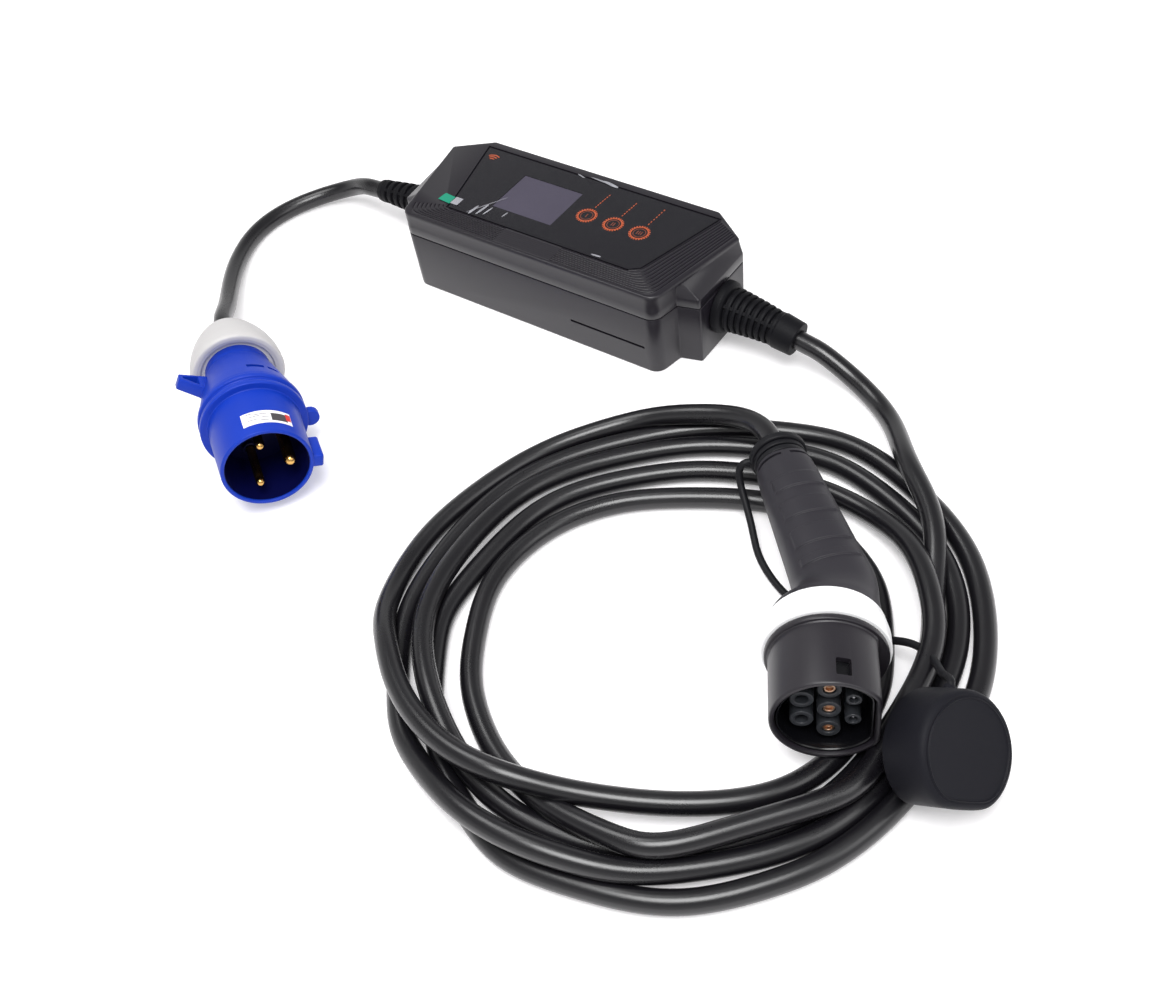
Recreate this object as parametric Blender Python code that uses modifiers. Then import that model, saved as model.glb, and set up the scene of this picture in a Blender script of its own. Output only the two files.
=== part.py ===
"""Portable charging lead for an electric car: a control box with a display, a blue three-pin
industrial plug on its short input lead, and a five metre output lead, coiled on the floor,
that ends in a seven-pole car connector with a rubber cap on a tether.

Metres, +Z up. The origin is the middle of the control box's footprint, on the floor. +X runs
along the box towards the output lead and +Y to the back of the box.
"""
import math

import bmesh
import bpy
from mathutils import Matrix, Vector

# Shared values
CLEARANCE = 0.0003
CABLE_DIAMETER = 0.0135
CABLE_RADIUS = CABLE_DIAMETER / 2

# Sides of the round pieces: large, middling, small
LARGE_SIDES = 32
MIDDLE_SIDES = 24
SMALL_SIDES = 16

# Control box
FRONT_HALF_LENGTH = 0.108
WIDE_HALF_LENGTH = 0.1255
BACK_HALF_LENGTH = 0.098
HALF_DEPTH = 0.050
WIDE_Y = 0.033
LUG_ROOT_Y = -0.029
LUG_FRONT_Y = -0.025
LUG_HALF_LENGTH = 0.128
BOTTOM_DRAFT = 0.0025
PARTING_Z = 0.048
FACET_Z = 0.056
RIM_Z = 0.0645
TOP_Z = 0.068
RIM_INSET = 0.0022
WALL = 0.0028
FLOOR_WALL = 0.003
CORNER_STEPS = 4

# Ridged band of the cover
RIDGE_COUNT = 9
RIDGE_WIDTH = 0.0009
RIDGE_DEPTH = 0.0006
SMOOTH_PLATE_LEFT_X = -0.029
SMOOTH_PLATE_RIGHT_X = 0.0205

# Face panel, display and touch keys
PANEL_THICKNESS = 0.0010
PANEL_RECESS = 0.0012
PANEL_FRONT_Y = -0.031
PANEL_BACK_Y = 0.0447
PANEL_FRONT_LEFT_X = -0.0845
PANEL_FRONT_RIGHT_X = 0.0750
PANEL_CORNER_X = 0.0826
PANEL_CORNER_Y = -0.0254
PANEL_BACK_HALF_LENGTH = 0.1029
PANEL_STEP_X = -0.0872
PANEL_STEP_Y = -0.0152
SLOT_WIDTH = 0.0014
DISPLAY_X = -0.0286
DISPLAY_Y = 0.0060
DISPLAY_WIDTH = 0.0528
DISPLAY_HEIGHT = 0.0414
DISPLAY_DEPTH = 0.0040
KEY_X = (0.0161, 0.0384, 0.0607)
KEY_Y = 0.0062
SPRING_DIAMETER = 0.007
FILM_THICKNESS = 0.0002
FILM_INSET = 0.0022
TAB_LEFT_X = -0.0965
TAB_RIGHT_X = -0.0852
TAB_FRONT_Y = -0.0275
TAB_BACK_Y = -0.0188
TAB_SKEW = 0.0010

# Side slot of the lower case
SIDE_SLOT_LEFT_X = 0.034
SIDE_SLOT_RIGHT_X = 0.097
SIDE_SLOT_Z = 0.021
SIDE_SLOT_HEIGHT = 0.0016
SIDE_SLOT_DEPTH = 0.0012

# Screws, boards and what sits on them
SCREW_X = 0.096
SCREW_Y = 0.038
SCREW_RADIUS = 0.0018
SCREW_HEAD_RADIUS = 0.0032
SCREW_HEAD_HEIGHT = 0.0024
SCREW_LENGTH = 0.040
SCREW_SEAT_Z = 0.0060
BOSS_RADIUS = 0.0050
COUNTERBORE_RADIUS = 0.0038
BOARD_THICKNESS = 0.0016
BOARD_SEAT_Z = 0.0100
STANDOFF_X = 0.070
STANDOFF_Y = 0.026
STANDOFF_RADIUS = 0.0035
MAIN_BOARD_SIZE = (0.172, 0.066)
TERMINAL_BLOCK_INSET = 0.022
TERMINAL_BLOCK_SIZE = (0.030, 0.014, 0.014)
RELAY_INSET = 0.031
RELAY_PITCH = 0.035
RELAY_SIZE = (0.030, 0.016, 0.022)
RELAY_Y = 0.016
SUPPLY_SIZE = (0.034, 0.026, 0.020)
SUPPLY_X = -0.030
SUPPLY_Y = 0.014
CAPACITOR_RADIUS = 0.008
CAPACITOR_HEIGHT = 0.025
CAPACITOR_X = -0.028
SENSOR_RADIUS = 0.0130
SENSOR_BORE = 0.0070
SENSOR_LENGTH = 0.010
SENSOR_X = 0.040
SMALL_PARTS_Y = -0.014
DISPLAY_BOARD_SIZE = (0.160, 0.046)
DISPLAY_BOARD_X = 0.004

# Cable outlets
OUTLET_Z = 0.030
OUTLET_Y = 0.004
NECK_LENGTH = 0.0060
RELIEF_TIP_X = 0.190
OUTPUT_RELIEF_RADII = (0.0192, 0.0160, 0.0125)
INPUT_RELIEF_RADII = (0.0150, 0.0125, 0.0092)
OUTPUT_COLLAR_RADIUS = 0.0130
OUTPUT_RIBS = 8
INPUT_RIBS = 6
OUTPUT_DROOP = math.radians(10.0)
OUTPUT_YAW = math.radians(-3.0)
INPUT_DROOP = math.radians(7.0)
INPUT_YAW = math.radians(1.0)
NECK_RADIUS_SHARE = 0.72
RELIEF_SIDES = 16

# Industrial plug: its mouth is at the local origin and its axis is local +Z
PLUG_MOUTH = Vector((-0.0432, -0.2768, 0.0400))
PLUG_AXIS = Vector((0.799, -0.599, 0.060))
PLUG_KEY_ANGLE = math.radians(-16.4)
SHROUD_RADIUS = 0.0300
SHROUD_WALL = 0.0026
SHROUD_LENGTH = 0.056
SHROUD_DEPTH = 0.044
FLANGE_RADIUS = 0.0358
FLANGE_LENGTH = 0.0125
FLANGE_GROOVE_DEPTH = 0.0022
REAR_BODY_LENGTH = 0.040
REAR_BODY_RADIUS_FRONT = 0.0315
REAR_BODY_RADIUS_BACK = 0.0225
REAR_SPIGOT_LENGTH = 0.030
REAR_SPIGOT_RADIUS = 0.0200
NUT_LENGTH = 0.053
NUT_RADIUS = 0.0325
NUT_OVERLAP = 0.0020
PIN_CIRCLE_RADIUS = 0.0155
LINE_PIN_RADIUS = 0.0030
EARTH_PIN_RADIUS = 0.0040
PIN_TIP_DEPTH = 0.0090
PIN_SPREAD = math.radians(105.0)

# Car connector: its face is at the local origin and its nose axis is local +Z
FACE_CENTRE = Vector((0.3542, -0.2663, 0.0470))
NOSE_AXIS = Vector((0.500, -0.861, 0.090))
NOSE_RADIUS = 0.0312
NOSE_FLAT = 0.0262
NOSE_WALL = 0.0032
NOSE_LENGTH = 0.041
NOSE_RECESS = 0.0270
RIM_RADIUS = 0.0345
RIM_LENGTH = 0.0040
COLLAR_LENGTH = 0.0190
COLLAR_FRONT_RADIUS = 0.0338
COLLAR_BACK_RADIUS = 0.0312
CONTACT_PITCH = 0.0160
PILOT_ROW_X = 0.0125
SPARE_ROW_X = -0.0140
LARGE_CONTACT_RADIUS = 0.0062
SMALL_CONTACT_RADIUS = 0.0042
CONTACT_HOLE_SHARE = 0.56
TOWER_HEIGHT = 0.0190
SLEEVE_WALL = 0.0009
CONTACT_SIDES = 12
LOCK_HOLE_LENGTH = 0.0108
LOCK_HOLE_WIDTH = 0.0080

# Boot behind the grip, tether and cap
BOOT_RADIUS = 0.0164
BOOT_RING_LENGTH = 0.0036
BOOT_WAIST_LENGTH = 0.0014
BOOT_NOZZLE_LENGTH = 0.0050
TETHER_RING_WIDTH = 0.0048
TETHER_RING_THICKNESS = 0.0044
TETHER_RADIUS = 0.0023
CAP_FACE_CENTRE = Vector((0.4215, -0.2420, 0.0390))
CAP_AXIS = Vector((0.758, -0.080, 0.647))
CAP_RADIUS = 0.0322
CAP_FLAT = 0.0268
CAP_DEPTH = 0.029
STRAP_SEAT_ANGLE = math.radians(120.0)
STRAP_SEAT_DEPTH = 0.0235
CAP_WALL = 0.0028
CAP_FACE_WALL = 0.0035

# Coil of the output lead
COIL_CENTRE = Vector((0.2325, -0.2250, 0.0))
COIL_OUTER_RADIUS = 0.1760
COIL_BAND_WIDTH = 0.0680
COIL_HOLE_OFFSET = Vector((0.0115, -0.0160, 0.0))
COIL_HEIGHT = 0.0136
COIL_SIDES = 40

PART_COLLECTION = "portable_car_charger"
CUTTER_COLLECTION = "cutters"


def clear_scene():
    """Empty the scene of objects and add the two collections."""
    for old in list(bpy.data.objects):
        bpy.data.objects.remove(old, do_unlink=True)
    for name in (PART_COLLECTION, CUTTER_COLLECTION):
        collection = bpy.data.collections.new(name)
        bpy.context.scene.collection.children.link(collection)


def material(name, colour, roughness, metallic=0.0, alpha=1.0):
    """A Principled material, made once for each name."""
    found = bpy.data.materials.get(name)
    if found:
        return found
    made = bpy.data.materials.new(name)
    made.use_nodes = True
    shader = made.node_tree.nodes["Principled BSDF"]
    shader.inputs["Base Color"].default_value = (*colour, 1.0)
    shader.inputs["Roughness"].default_value = roughness
    shader.inputs["Metallic"].default_value = metallic
    shader.inputs["Alpha"].default_value = alpha
    return made


def black_plastic():
    return material("black_plastic", (0.035, 0.034, 0.038), 0.45)


def soft_black():
    return material("soft_black", (0.020, 0.020, 0.024), 0.62)


def gloss_black():
    return material("gloss_black", (0.010, 0.010, 0.013), 0.22)


def cable_jacket():
    return material("cable_jacket", (0.022, 0.020, 0.026), 0.38)


def blue_plastic():
    return material("blue_plastic", (0.03, 0.08, 0.62), 0.36)


def grey_plastic():
    return material("grey_plastic", (0.70, 0.72, 0.71), 0.42)


def white_plastic():
    return material("white_plastic", (0.86, 0.86, 0.86), 0.30)


def brass():
    return material("brass", (0.78, 0.52, 0.22), 0.25, metallic=1.0)


def copper():
    return material("copper", (0.72, 0.42, 0.26), 0.30, metallic=1.0)


def steel():
    return material("steel", (0.62, 0.62, 0.64), 0.30, metallic=1.0)


def board_green():
    return material("board_green", (0.02, 0.16, 0.07), 0.45)


def relay_plastic():
    return material("relay_plastic", (0.05, 0.14, 0.32), 0.45)


def display_glass():
    return material("display_glass", (0.20, 0.19, 0.24), 0.12)


def tab_green():
    return material("tab_green", (0.02, 0.36, 0.26), 0.40)


def clear_film():
    return material("clear_film", (0.80, 0.80, 0.82), 0.08, alpha=0.25)


def label_white():
    return material("label_white", (0.88, 0.88, 0.88), 0.35)


def link(obj, finish=None, cutter=False):
    """Put an object in its collection, with its finish, or make it a hidden cutter."""
    bpy.data.collections[CUTTER_COLLECTION if cutter else PART_COLLECTION].objects.link(obj)
    if cutter:
        obj.hide_render = True
        obj.display_type = 'WIRE'
    if finish:
        obj.data.materials.append(finish)
    return obj


def face_outwards(bm):
    """Make a closed body's faces agree and point outwards."""
    bmesh.ops.recalc_face_normals(bm, faces=bm.faces)
    if bm.calc_volume(signed=True) < 0.0:
        bmesh.ops.reverse_faces(bm, faces=bm.faces)


def object_from_bmesh(name, bm, finish=None, matrix=None, cutter=False):
    mesh = bpy.data.meshes.new(name)
    bm.to_mesh(mesh)
    bm.free()
    mesh.shade_smooth()
    mesh.set_sharp_from_angle(angle=math.radians(32.0))
    obj = link(bpy.data.objects.new(name, mesh), finish, cutter)
    if matrix:
        obj.matrix_world = matrix
    return obj


def loft(name, sections, finish=None, matrix=None, cutter=False, closed=False):
    """Skin a row of point loops, with a flat cap at each end or joined end to end."""
    bm = bmesh.new()
    rings = [[bm.verts.new(point) for point in section] for section in sections]
    count = len(rings[0])
    pairs = list(zip(rings, rings[1:]))
    if closed:
        pairs.append((rings[-1], rings[0]))
    for low, high in pairs:
        for i in range(count):
            j = (i + 1) % count
            bm.faces.new((low[i], low[j], high[j], high[i]))
    if not closed:
        bm.faces.new(list(reversed(rings[0])))
        bm.faces.new(rings[-1])
    face_outwards(bm)
    return object_from_bmesh(name, bm, finish, matrix, cutter)


def prism(name, outline, low_z, high_z, finish=None, matrix=None, cutter=False):
    """A flat outline pulled straight up."""
    sections = [[Vector((x, y, z)) for x, y in outline] for z in (low_z, high_z)]
    return loft(name, sections, finish, matrix, cutter)


def turned(name, profile, finish=None, matrix=None, steps=LARGE_SIDES, cutter=False):
    """Turn a half section of (radius, z) points about local Z, open where it meets the axis."""
    closed = profile[0][0] > 0.0
    loop = list(zip(profile, profile[1:] + profile[:1]))
    area = sum(a[0] * b[1] - b[0] * a[1] for a, b in loop)
    ordered = list(reversed(profile)) if area > 0.0 else profile
    bm = bmesh.new()
    points = [bm.verts.new((radius, 0.0, z)) for radius, z in ordered]
    for first, second in zip(points, points[1:]):
        bm.edges.new((first, second))
    if closed:
        bm.edges.new((points[-1], points[0]))
    obj = object_from_bmesh(name, bm, finish, matrix, cutter)
    screw = obj.modifiers.new("turn", 'SCREW')
    screw.steps = steps
    screw.render_steps = steps
    screw.use_merge_vertices = True
    screw.merge_threshold = 0.00001
    screw.use_normal_calculate = False
    screw.use_smooth_shade = True
    return obj


def applied(obj):
    """Swap an object's mesh for the one its modifiers make, so that it can be bent."""
    bpy.context.view_layer.update()
    evaluated = obj.evaluated_get(bpy.context.evaluated_depsgraph_get())
    mesh = bpy.data.meshes.new_from_object(evaluated)
    obj.modifiers.clear()
    obj.data = mesh
    return obj


def box(name, centre, size, finish=None, matrix=None, cutter=False, bevel=0.0):
    bm = bmesh.new()
    bmesh.ops.create_cube(bm, size=1.0)
    bmesh.ops.scale(bm, vec=Vector(size), verts=bm.verts)
    bmesh.ops.translate(bm, vec=Vector(centre), verts=bm.verts)
    obj = object_from_bmesh(name, bm, finish, matrix, cutter)
    if bevel > 0.0:
        rounding = obj.modifiers.new("edges", 'BEVEL')
        rounding.width = bevel
        rounding.segments = 2
    return obj


def cylinder(name, centre, radius, height, finish=None, matrix=None, cutter=False, sides=MIDDLE_SIDES):
    bm = bmesh.new()
    bmesh.ops.create_cone(bm, cap_ends=True, segments=sides, radius1=radius, radius2=radius, depth=height)
    bmesh.ops.translate(bm, vec=Vector(centre), verts=bm.verts)
    return object_from_bmesh(name, bm, finish, matrix, cutter)


def combine(obj, tools, operation='DIFFERENCE'):
    """Cut tools from an object, or join them to it."""
    for tool in tools:
        step = obj.modifiers.new(tool.name, 'BOOLEAN')
        step.operation = operation
        step.solver = 'EXACT'
        step.object = tool
    return obj


def frame_matrix(origin, axis, right):
    """A placement with local +Z on axis and local +X as near to right as it can be."""
    z_axis = axis.normalized()
    x_axis = (right - right.dot(z_axis) * z_axis).normalized()
    y_axis = z_axis.cross(x_axis)
    rotation = Matrix((x_axis, y_axis, z_axis)).transposed()
    return Matrix.Translation(origin) @ rotation.to_4x4()


def offset_corners(corners, distance):
    """Move each side of a counter-clockwise outline inwards and meet the sides again."""
    moved = []
    count = len(corners)
    for i in range(count):
        before = Vector(corners[i - 1])
        here = Vector(corners[i])
        after = Vector(corners[(i + 1) % count])
        into = (here - before).normalized()
        away = (after - here).normalized()
        normal_in = Vector((-into.y, into.x))
        normal_out = Vector((-away.y, away.x))
        middle = (normal_in + normal_out).normalized()
        moved.append(here + middle * (distance / middle.dot(normal_in)))
    return moved


def round_corners(corners, radii, steps=CORNER_STEPS):
    """Replace each corner with the same number of points on its arc."""
    outline = []
    count = len(corners)
    for i in range(count):
        before = Vector(corners[i - 1])
        here = Vector(corners[i])
        after = Vector(corners[(i + 1) % count])
        to_before = (before - here).normalized()
        to_after = (after - here).normalized()
        half_angle = to_before.angle(to_after) / 2
        reach = radii[i] / math.tan(half_angle)
        start = here + to_before * reach
        centre = here + (to_before + to_after).normalized() * (radii[i] / math.sin(half_angle))
        end = here + to_after * reach
        first = start - centre
        sweep = first.angle_signed(end - centre)
        for step in range(steps):
            turn = -sweep * step / (steps - 1)
            cosine = math.cos(turn)
            sine = math.sin(turn)
            across = first.x * cosine - first.y * sine
            along = first.x * sine + first.y * cosine
            outline.append(centre + Vector((across, along)))
    return outline


def body_corners():
    """Plan of the case with its lugs, counter-clockwise from the front left corner."""
    slope = (WIDE_HALF_LENGTH - FRONT_HALF_LENGTH) / (WIDE_Y + HALF_DEPTH)
    root_x = FRONT_HALF_LENGTH + slope * (LUG_ROOT_Y + HALF_DEPTH)
    right = [
        (FRONT_HALF_LENGTH, -HALF_DEPTH),
        (root_x, LUG_ROOT_Y),
        (LUG_HALF_LENGTH, LUG_FRONT_Y),
        (LUG_HALF_LENGTH, WIDE_Y),
        (BACK_HALF_LENGTH, HALF_DEPTH),
    ]
    left = [(-x, y) for x, y in reversed(right)]
    return right + left


def cover_corners():
    """Plan of the cover's rim: the same corners, with the lugs drawn in to the flared ends."""
    slope = (WIDE_HALF_LENGTH - FRONT_HALF_LENGTH) / (WIDE_Y + HALF_DEPTH)
    root_x = FRONT_HALF_LENGTH + slope * (LUG_ROOT_Y + HALF_DEPTH)
    lug_x = FRONT_HALF_LENGTH + slope * (LUG_FRONT_Y + 0.002 + HALF_DEPTH)
    right = [
        (FRONT_HALF_LENGTH, -HALF_DEPTH),
        (root_x, LUG_ROOT_Y),
        (lug_x, LUG_FRONT_Y + 0.002),
        (WIDE_HALF_LENGTH, WIDE_Y),
        (BACK_HALF_LENGTH, HALF_DEPTH),
    ]
    left = [(-x, y) for x, y in reversed(right)]
    return right + left


BODY_RADII = (0.010, 0.0012, 0.0025, 0.0025, 0.004, 0.004, 0.0025, 0.0025, 0.0012, 0.010)


def body_outline(inset=0.0):
    radii = [max(radius - inset, 0.0006) for radius in BODY_RADII]
    radii[1] = BODY_RADII[1] + inset
    radii[8] = BODY_RADII[8] + inset
    return round_corners(offset_corners(body_corners(), inset), radii)


def cover_outline(inset=0.0):
    radii = [max(radius - inset, 0.0006) for radius in BODY_RADII]
    radii[1] = 0.0006
    radii[2] = 0.0006
    radii[7] = 0.0006
    radii[8] = 0.0006
    return round_corners(offset_corners(cover_corners(), inset), radii)


def level(outline, z):
    return [Vector((point.x, point.y, z)) for point in outline]


def outlet_cutter(name, side, radius_neck):
    """The stepped hole of a cable outlet: a bore through the lug for the strain relief's neck."""
    reach = 0.030
    inner_x = side * (LUG_HALF_LENGTH - reach / 2 + 0.002)
    turn = Matrix.Translation((inner_x, OUTLET_Y, OUTLET_Z)) @ Matrix.Rotation(math.pi / 2, 4, 'Y')
    return cylinder(name, (0, 0, 0), radius_neck + CLEARANCE, reach, matrix=turn, cutter=True)


def screw_places():
    for x_side in (-1, 1):
        for y_side in (-1, 1):
            yield x_side * SCREW_X, y_side * SCREW_Y


def make_lower_case():
    foot = body_outline(BOTTOM_DRAFT + 0.0015)
    toe = body_outline(BOTTOM_DRAFT)
    sections = [level(foot, 0.0), level(toe, 0.0015), level(body_outline(), PARTING_Z)]
    case = loft("lower_case", sections, black_plastic())
    inner_low = level(body_outline(BOTTOM_DRAFT + WALL), FLOOR_WALL)
    inner_high = level(body_outline(WALL), PARTING_Z + 0.001)
    hollow = loft("lower_case_hollow", [inner_low, inner_high], cutter=True)
    combine(case, [hollow])
    for number, (x, y) in enumerate(screw_places(), 1):
        height = PARTING_Z - 0.0025 - 0.001
        boss = cylinder(
            f"case_boss_{number}", (x, y, 0.001 + height / 2), BOSS_RADIUS, height, cutter=True,
            sides=SMALL_SIDES)
        combine(case, [boss], 'UNION')
        pocket = cylinder(
            f"case_counterbore_{number}", (x, y, (SCREW_SEAT_Z - 0.001) / 2), COUNTERBORE_RADIUS,
            SCREW_SEAT_Z + 0.001, cutter=True, sides=SMALL_SIDES)
        hole = cylinder(
            f"case_screw_hole_{number}", (x, y, PARTING_Z / 2), SCREW_RADIUS + CLEARANCE, PARTING_Z + 0.004,
            cutter=True, sides=SMALL_SIDES)
        combine(case, [pocket, hole])
    for number, (x_side, y_side) in enumerate(((-1, -1), (-1, 1), (1, -1), (1, 1)), 1):
        height = BOARD_SEAT_Z - CLEARANCE - 0.001
        post = cylinder(
            f"case_standoff_{number}", (x_side * STANDOFF_X, y_side * STANDOFF_Y, 0.001 + height / 2),
            STANDOFF_RADIUS, height, cutter=True, sides=SMALL_SIDES)
        combine(case, [post], 'UNION')
    outlets = [
        outlet_cutter("case_outlet_right", 1, OUTPUT_RELIEF_RADII[0] * NECK_RADIUS_SHARE),
        outlet_cutter("case_outlet_left", -1, INPUT_RELIEF_RADII[0] * NECK_RADIUS_SHARE),
    ]
    combine(case, outlets)
    slot = box(
        "case_side_slot", ((SIDE_SLOT_LEFT_X + SIDE_SLOT_RIGHT_X) / 2, -HALF_DEPTH + 0.0008, SIDE_SLOT_Z),
        (SIDE_SLOT_RIGHT_X - SIDE_SLOT_LEFT_X, 2 * SIDE_SLOT_DEPTH, SIDE_SLOT_HEIGHT), cutter=True)
    combine(case, [slot])


def make_gasket():
    outer = body_outline(0.0008)
    gasket = prism("case_gasket", outer, PARTING_Z + CLEARANCE, PARTING_Z + 0.0009, soft_black())
    inner_outline = body_outline(WALL - 0.0004)
    inner = prism("gasket_hollow", inner_outline, PARTING_Z - 0.001, PARTING_Z + 0.002, cutter=True)
    combine(gasket, [inner])


def mix(first, second, share):
    return first + (second - first) * share


def ridge_strip(bm, path, z_top):
    """A closed strip with a square section along a flat path, as one groove cutter."""
    left = []
    right = []
    for i, point in enumerate(path):
        ahead = path[min(i + 1, len(path) - 1)]
        behind = path[max(i - 1, 0)]
        along = (ahead - behind).normalized()
        across = Vector((-along.y, along.x)) * (RIDGE_WIDTH / 2)
        left.append(point + across)
        right.append(point - across)
    rings = []
    for a, b in zip(left, right):
        rings.append([
            bm.verts.new((a.x, a.y, z_top + 0.001)), bm.verts.new((a.x, a.y, z_top - RIDGE_DEPTH)),
            bm.verts.new((b.x, b.y, z_top - RIDGE_DEPTH)), bm.verts.new((b.x, b.y, z_top + 0.001))])
    for low, high in zip(rings, rings[1:]):
        for i in range(4):
            j = (i + 1) % 4
            bm.faces.new((low[i], low[j], high[j], high[i]))
    bm.faces.new(list(reversed(rings[0])))
    bm.faces.new(rings[-1])


def ridge_paths(share):
    """The left and the right run of one groove, mixed between the outer and the inner one."""
    outer_left = [Vector((-0.1095, -0.0370)), Vector((-0.1075, -0.0440)), Vector((-0.1020, -0.0468))]
    inner_left = [Vector((-0.0855, -0.0290)), Vector((-0.0843, -0.0308)), Vector((-0.0820, -0.0322))]
    outer_right = [
        Vector((0.0960, -0.0468)), Vector((0.1018, -0.0446)), Vector((0.1052, -0.0400)),
        Vector((0.1212, 0.0335))]
    inner_right = [
        Vector((0.0745, -0.0322)), Vector((0.0803, -0.0304)), Vector((0.0845, -0.0255)),
        Vector((0.1045, 0.0425))]
    left = [mix(a, b, share) for a, b in zip(outer_left, inner_left)]
    right = [mix(a, b, share) for a, b in zip(outer_right, inner_right)]
    front_y = left[-1].y
    left.append(Vector((SMOOTH_PLATE_LEFT_X - 0.001, front_y)))
    right.insert(0, Vector((SMOOTH_PLATE_RIGHT_X + 0.001, front_y)))
    return left, right


def panel_corners():
    return [
        (PANEL_FRONT_LEFT_X, PANEL_FRONT_Y), (PANEL_FRONT_RIGHT_X, PANEL_FRONT_Y),
        (PANEL_CORNER_X, PANEL_CORNER_Y), (PANEL_BACK_HALF_LENGTH, PANEL_BACK_Y),
        (-PANEL_BACK_HALF_LENGTH, PANEL_BACK_Y), (PANEL_STEP_X, PANEL_STEP_Y)]


def make_upper_cover():
    low = PARTING_Z + 0.0009 + CLEARANCE
    shoulder_z = RIM_Z + (TOP_Z - RIM_Z) * 0.62
    sections = [
        level(body_outline(), low), level(body_outline(), FACET_Z), level(cover_outline(), RIM_Z),
        level(cover_outline(RIM_INSET * 0.30), shoulder_z), level(cover_outline(RIM_INSET), TOP_Z)]
    cover = loft("upper_cover", sections, black_plastic())
    inside = [
        level(body_outline(WALL), low - 0.001), level(body_outline(WALL), FACET_Z - 0.001),
        level(cover_outline(WALL + 0.001), RIM_Z - 0.0025),
        level(cover_outline(WALL + 0.0015), TOP_Z - 0.0038)]
    combine(cover, [loft("upper_cover_hollow", inside, cutter=True)])
    for number, (x, y) in enumerate(screw_places(), 1):
        depth = TOP_Z - 0.002 - low - 0.001
        boss = cylinder(
            f"cover_boss_{number}", (x, y, low + 0.001 + depth / 2), BOSS_RADIUS, depth, cutter=True,
            sides=SMALL_SIDES)
        combine(cover, [boss], 'UNION')
        hole_top = SCREW_SEAT_Z - SCREW_HEAD_HEIGHT + SCREW_LENGTH + SCREW_HEAD_HEIGHT + 0.002
        hole = cylinder(
            f"cover_screw_hole_{number}", (x, y, (low + hole_top) / 2), SCREW_RADIUS + CLEARANCE,
            hole_top - low + 0.002, cutter=True, sides=SMALL_SIDES)
        combine(cover, [hole])
    pocket_outline = offset_corners(panel_corners(), -SLOT_WIDTH / 2)
    pocket = prism("panel_pocket", pocket_outline, TOP_Z - PANEL_RECESS, TOP_Z + 0.001, cutter=True)
    opening_size = (DISPLAY_WIDTH + 0.002, DISPLAY_HEIGHT + 0.002, 0.02)
    window = box("display_opening", (DISPLAY_X, DISPLAY_Y, TOP_Z), opening_size, cutter=True)
    combine(cover, [pocket, window])
    for number, x in enumerate(KEY_X, 1):
        well = cylinder(
            f"key_opening_{number}", (x, KEY_Y, TOP_Z), SPRING_DIAMETER / 2 + 0.0008, 0.02, cutter=True,
            sides=SMALL_SIDES)
        combine(cover, [well])
    bm = bmesh.new()
    for number in range(RIDGE_COUNT):
        for path in ridge_paths(number / (RIDGE_COUNT - 1)):
            ridge_strip(bm, path, TOP_Z)
    bmesh.ops.recalc_face_normals(bm, faces=bm.faces)
    combine(cover, [object_from_bmesh("ridge_cutter", bm, cutter=True)])


def make_face():
    """Face panel, display, its board, the touch springs and the film with its pull tab."""
    panel_low = TOP_Z - PANEL_RECESS + CLEARANCE
    panel_high = panel_low + PANEL_THICKNESS - 0.0003
    panel_outline = offset_corners(panel_corners(), SLOT_WIDTH / 2)
    panel = prism("face_panel", panel_outline, panel_low, panel_high, gloss_black())
    window = box(
        "panel_window", (DISPLAY_X, DISPLAY_Y, TOP_Z), (DISPLAY_WIDTH, DISPLAY_HEIGHT, 0.02), cutter=True)
    combine(panel, [window])
    display_high = panel_high - 0.0002
    display_low = display_high - DISPLAY_DEPTH
    display_size = (DISPLAY_WIDTH - 2 * CLEARANCE, DISPLAY_HEIGHT - 2 * CLEARANCE, DISPLAY_DEPTH)
    display_middle = (display_low + display_high) / 2
    box("display_module", (DISPLAY_X, DISPLAY_Y, display_middle), display_size, display_glass())
    board_high = display_low - CLEARANCE
    board_low = board_high - BOARD_THICKNESS
    box(
        "display_board", (DISPLAY_BOARD_X, DISPLAY_Y, (board_low + board_high) / 2),
        (*DISPLAY_BOARD_SIZE, BOARD_THICKNESS), board_green(), bevel=0.0004)
    spring_low = board_high + CLEARANCE
    spring_high = panel_low - CLEARANCE
    for number, x in enumerate(KEY_X, 1):
        cylinder(
            f"touch_spring_{number}", (x, KEY_Y, (spring_low + spring_high) / 2), SPRING_DIAMETER / 2,
            spring_high - spring_low, steel(), sides=SMALL_SIDES)
    buzzer_place = (0.074, 0.022, board_low - CLEARANCE - 0.003)
    cylinder("buzzer", buzzer_place, 0.006, 0.006, soft_black(), sides=SMALL_SIDES)
    film_low = panel_high + CLEARANCE
    prism(
        "protective_film", offset_corners(panel_corners(), FILM_INSET), film_low, film_low + FILM_THICKNESS,
        clear_film())
    tab_low = TOP_Z + CLEARANCE
    tab_outline = [
        Vector((TAB_LEFT_X, TAB_FRONT_Y + TAB_SKEW)), Vector((TAB_RIGHT_X, TAB_FRONT_Y)),
        Vector((TAB_RIGHT_X - TAB_SKEW / 2, TAB_BACK_Y - TAB_SKEW / 2)),
        Vector((TAB_LEFT_X + TAB_SKEW, TAB_BACK_Y + TAB_SKEW / 2))]
    prism("film_pull_tab", tab_outline, tab_low, tab_low + FILM_THICKNESS, tab_green())
    return board_low


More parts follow.
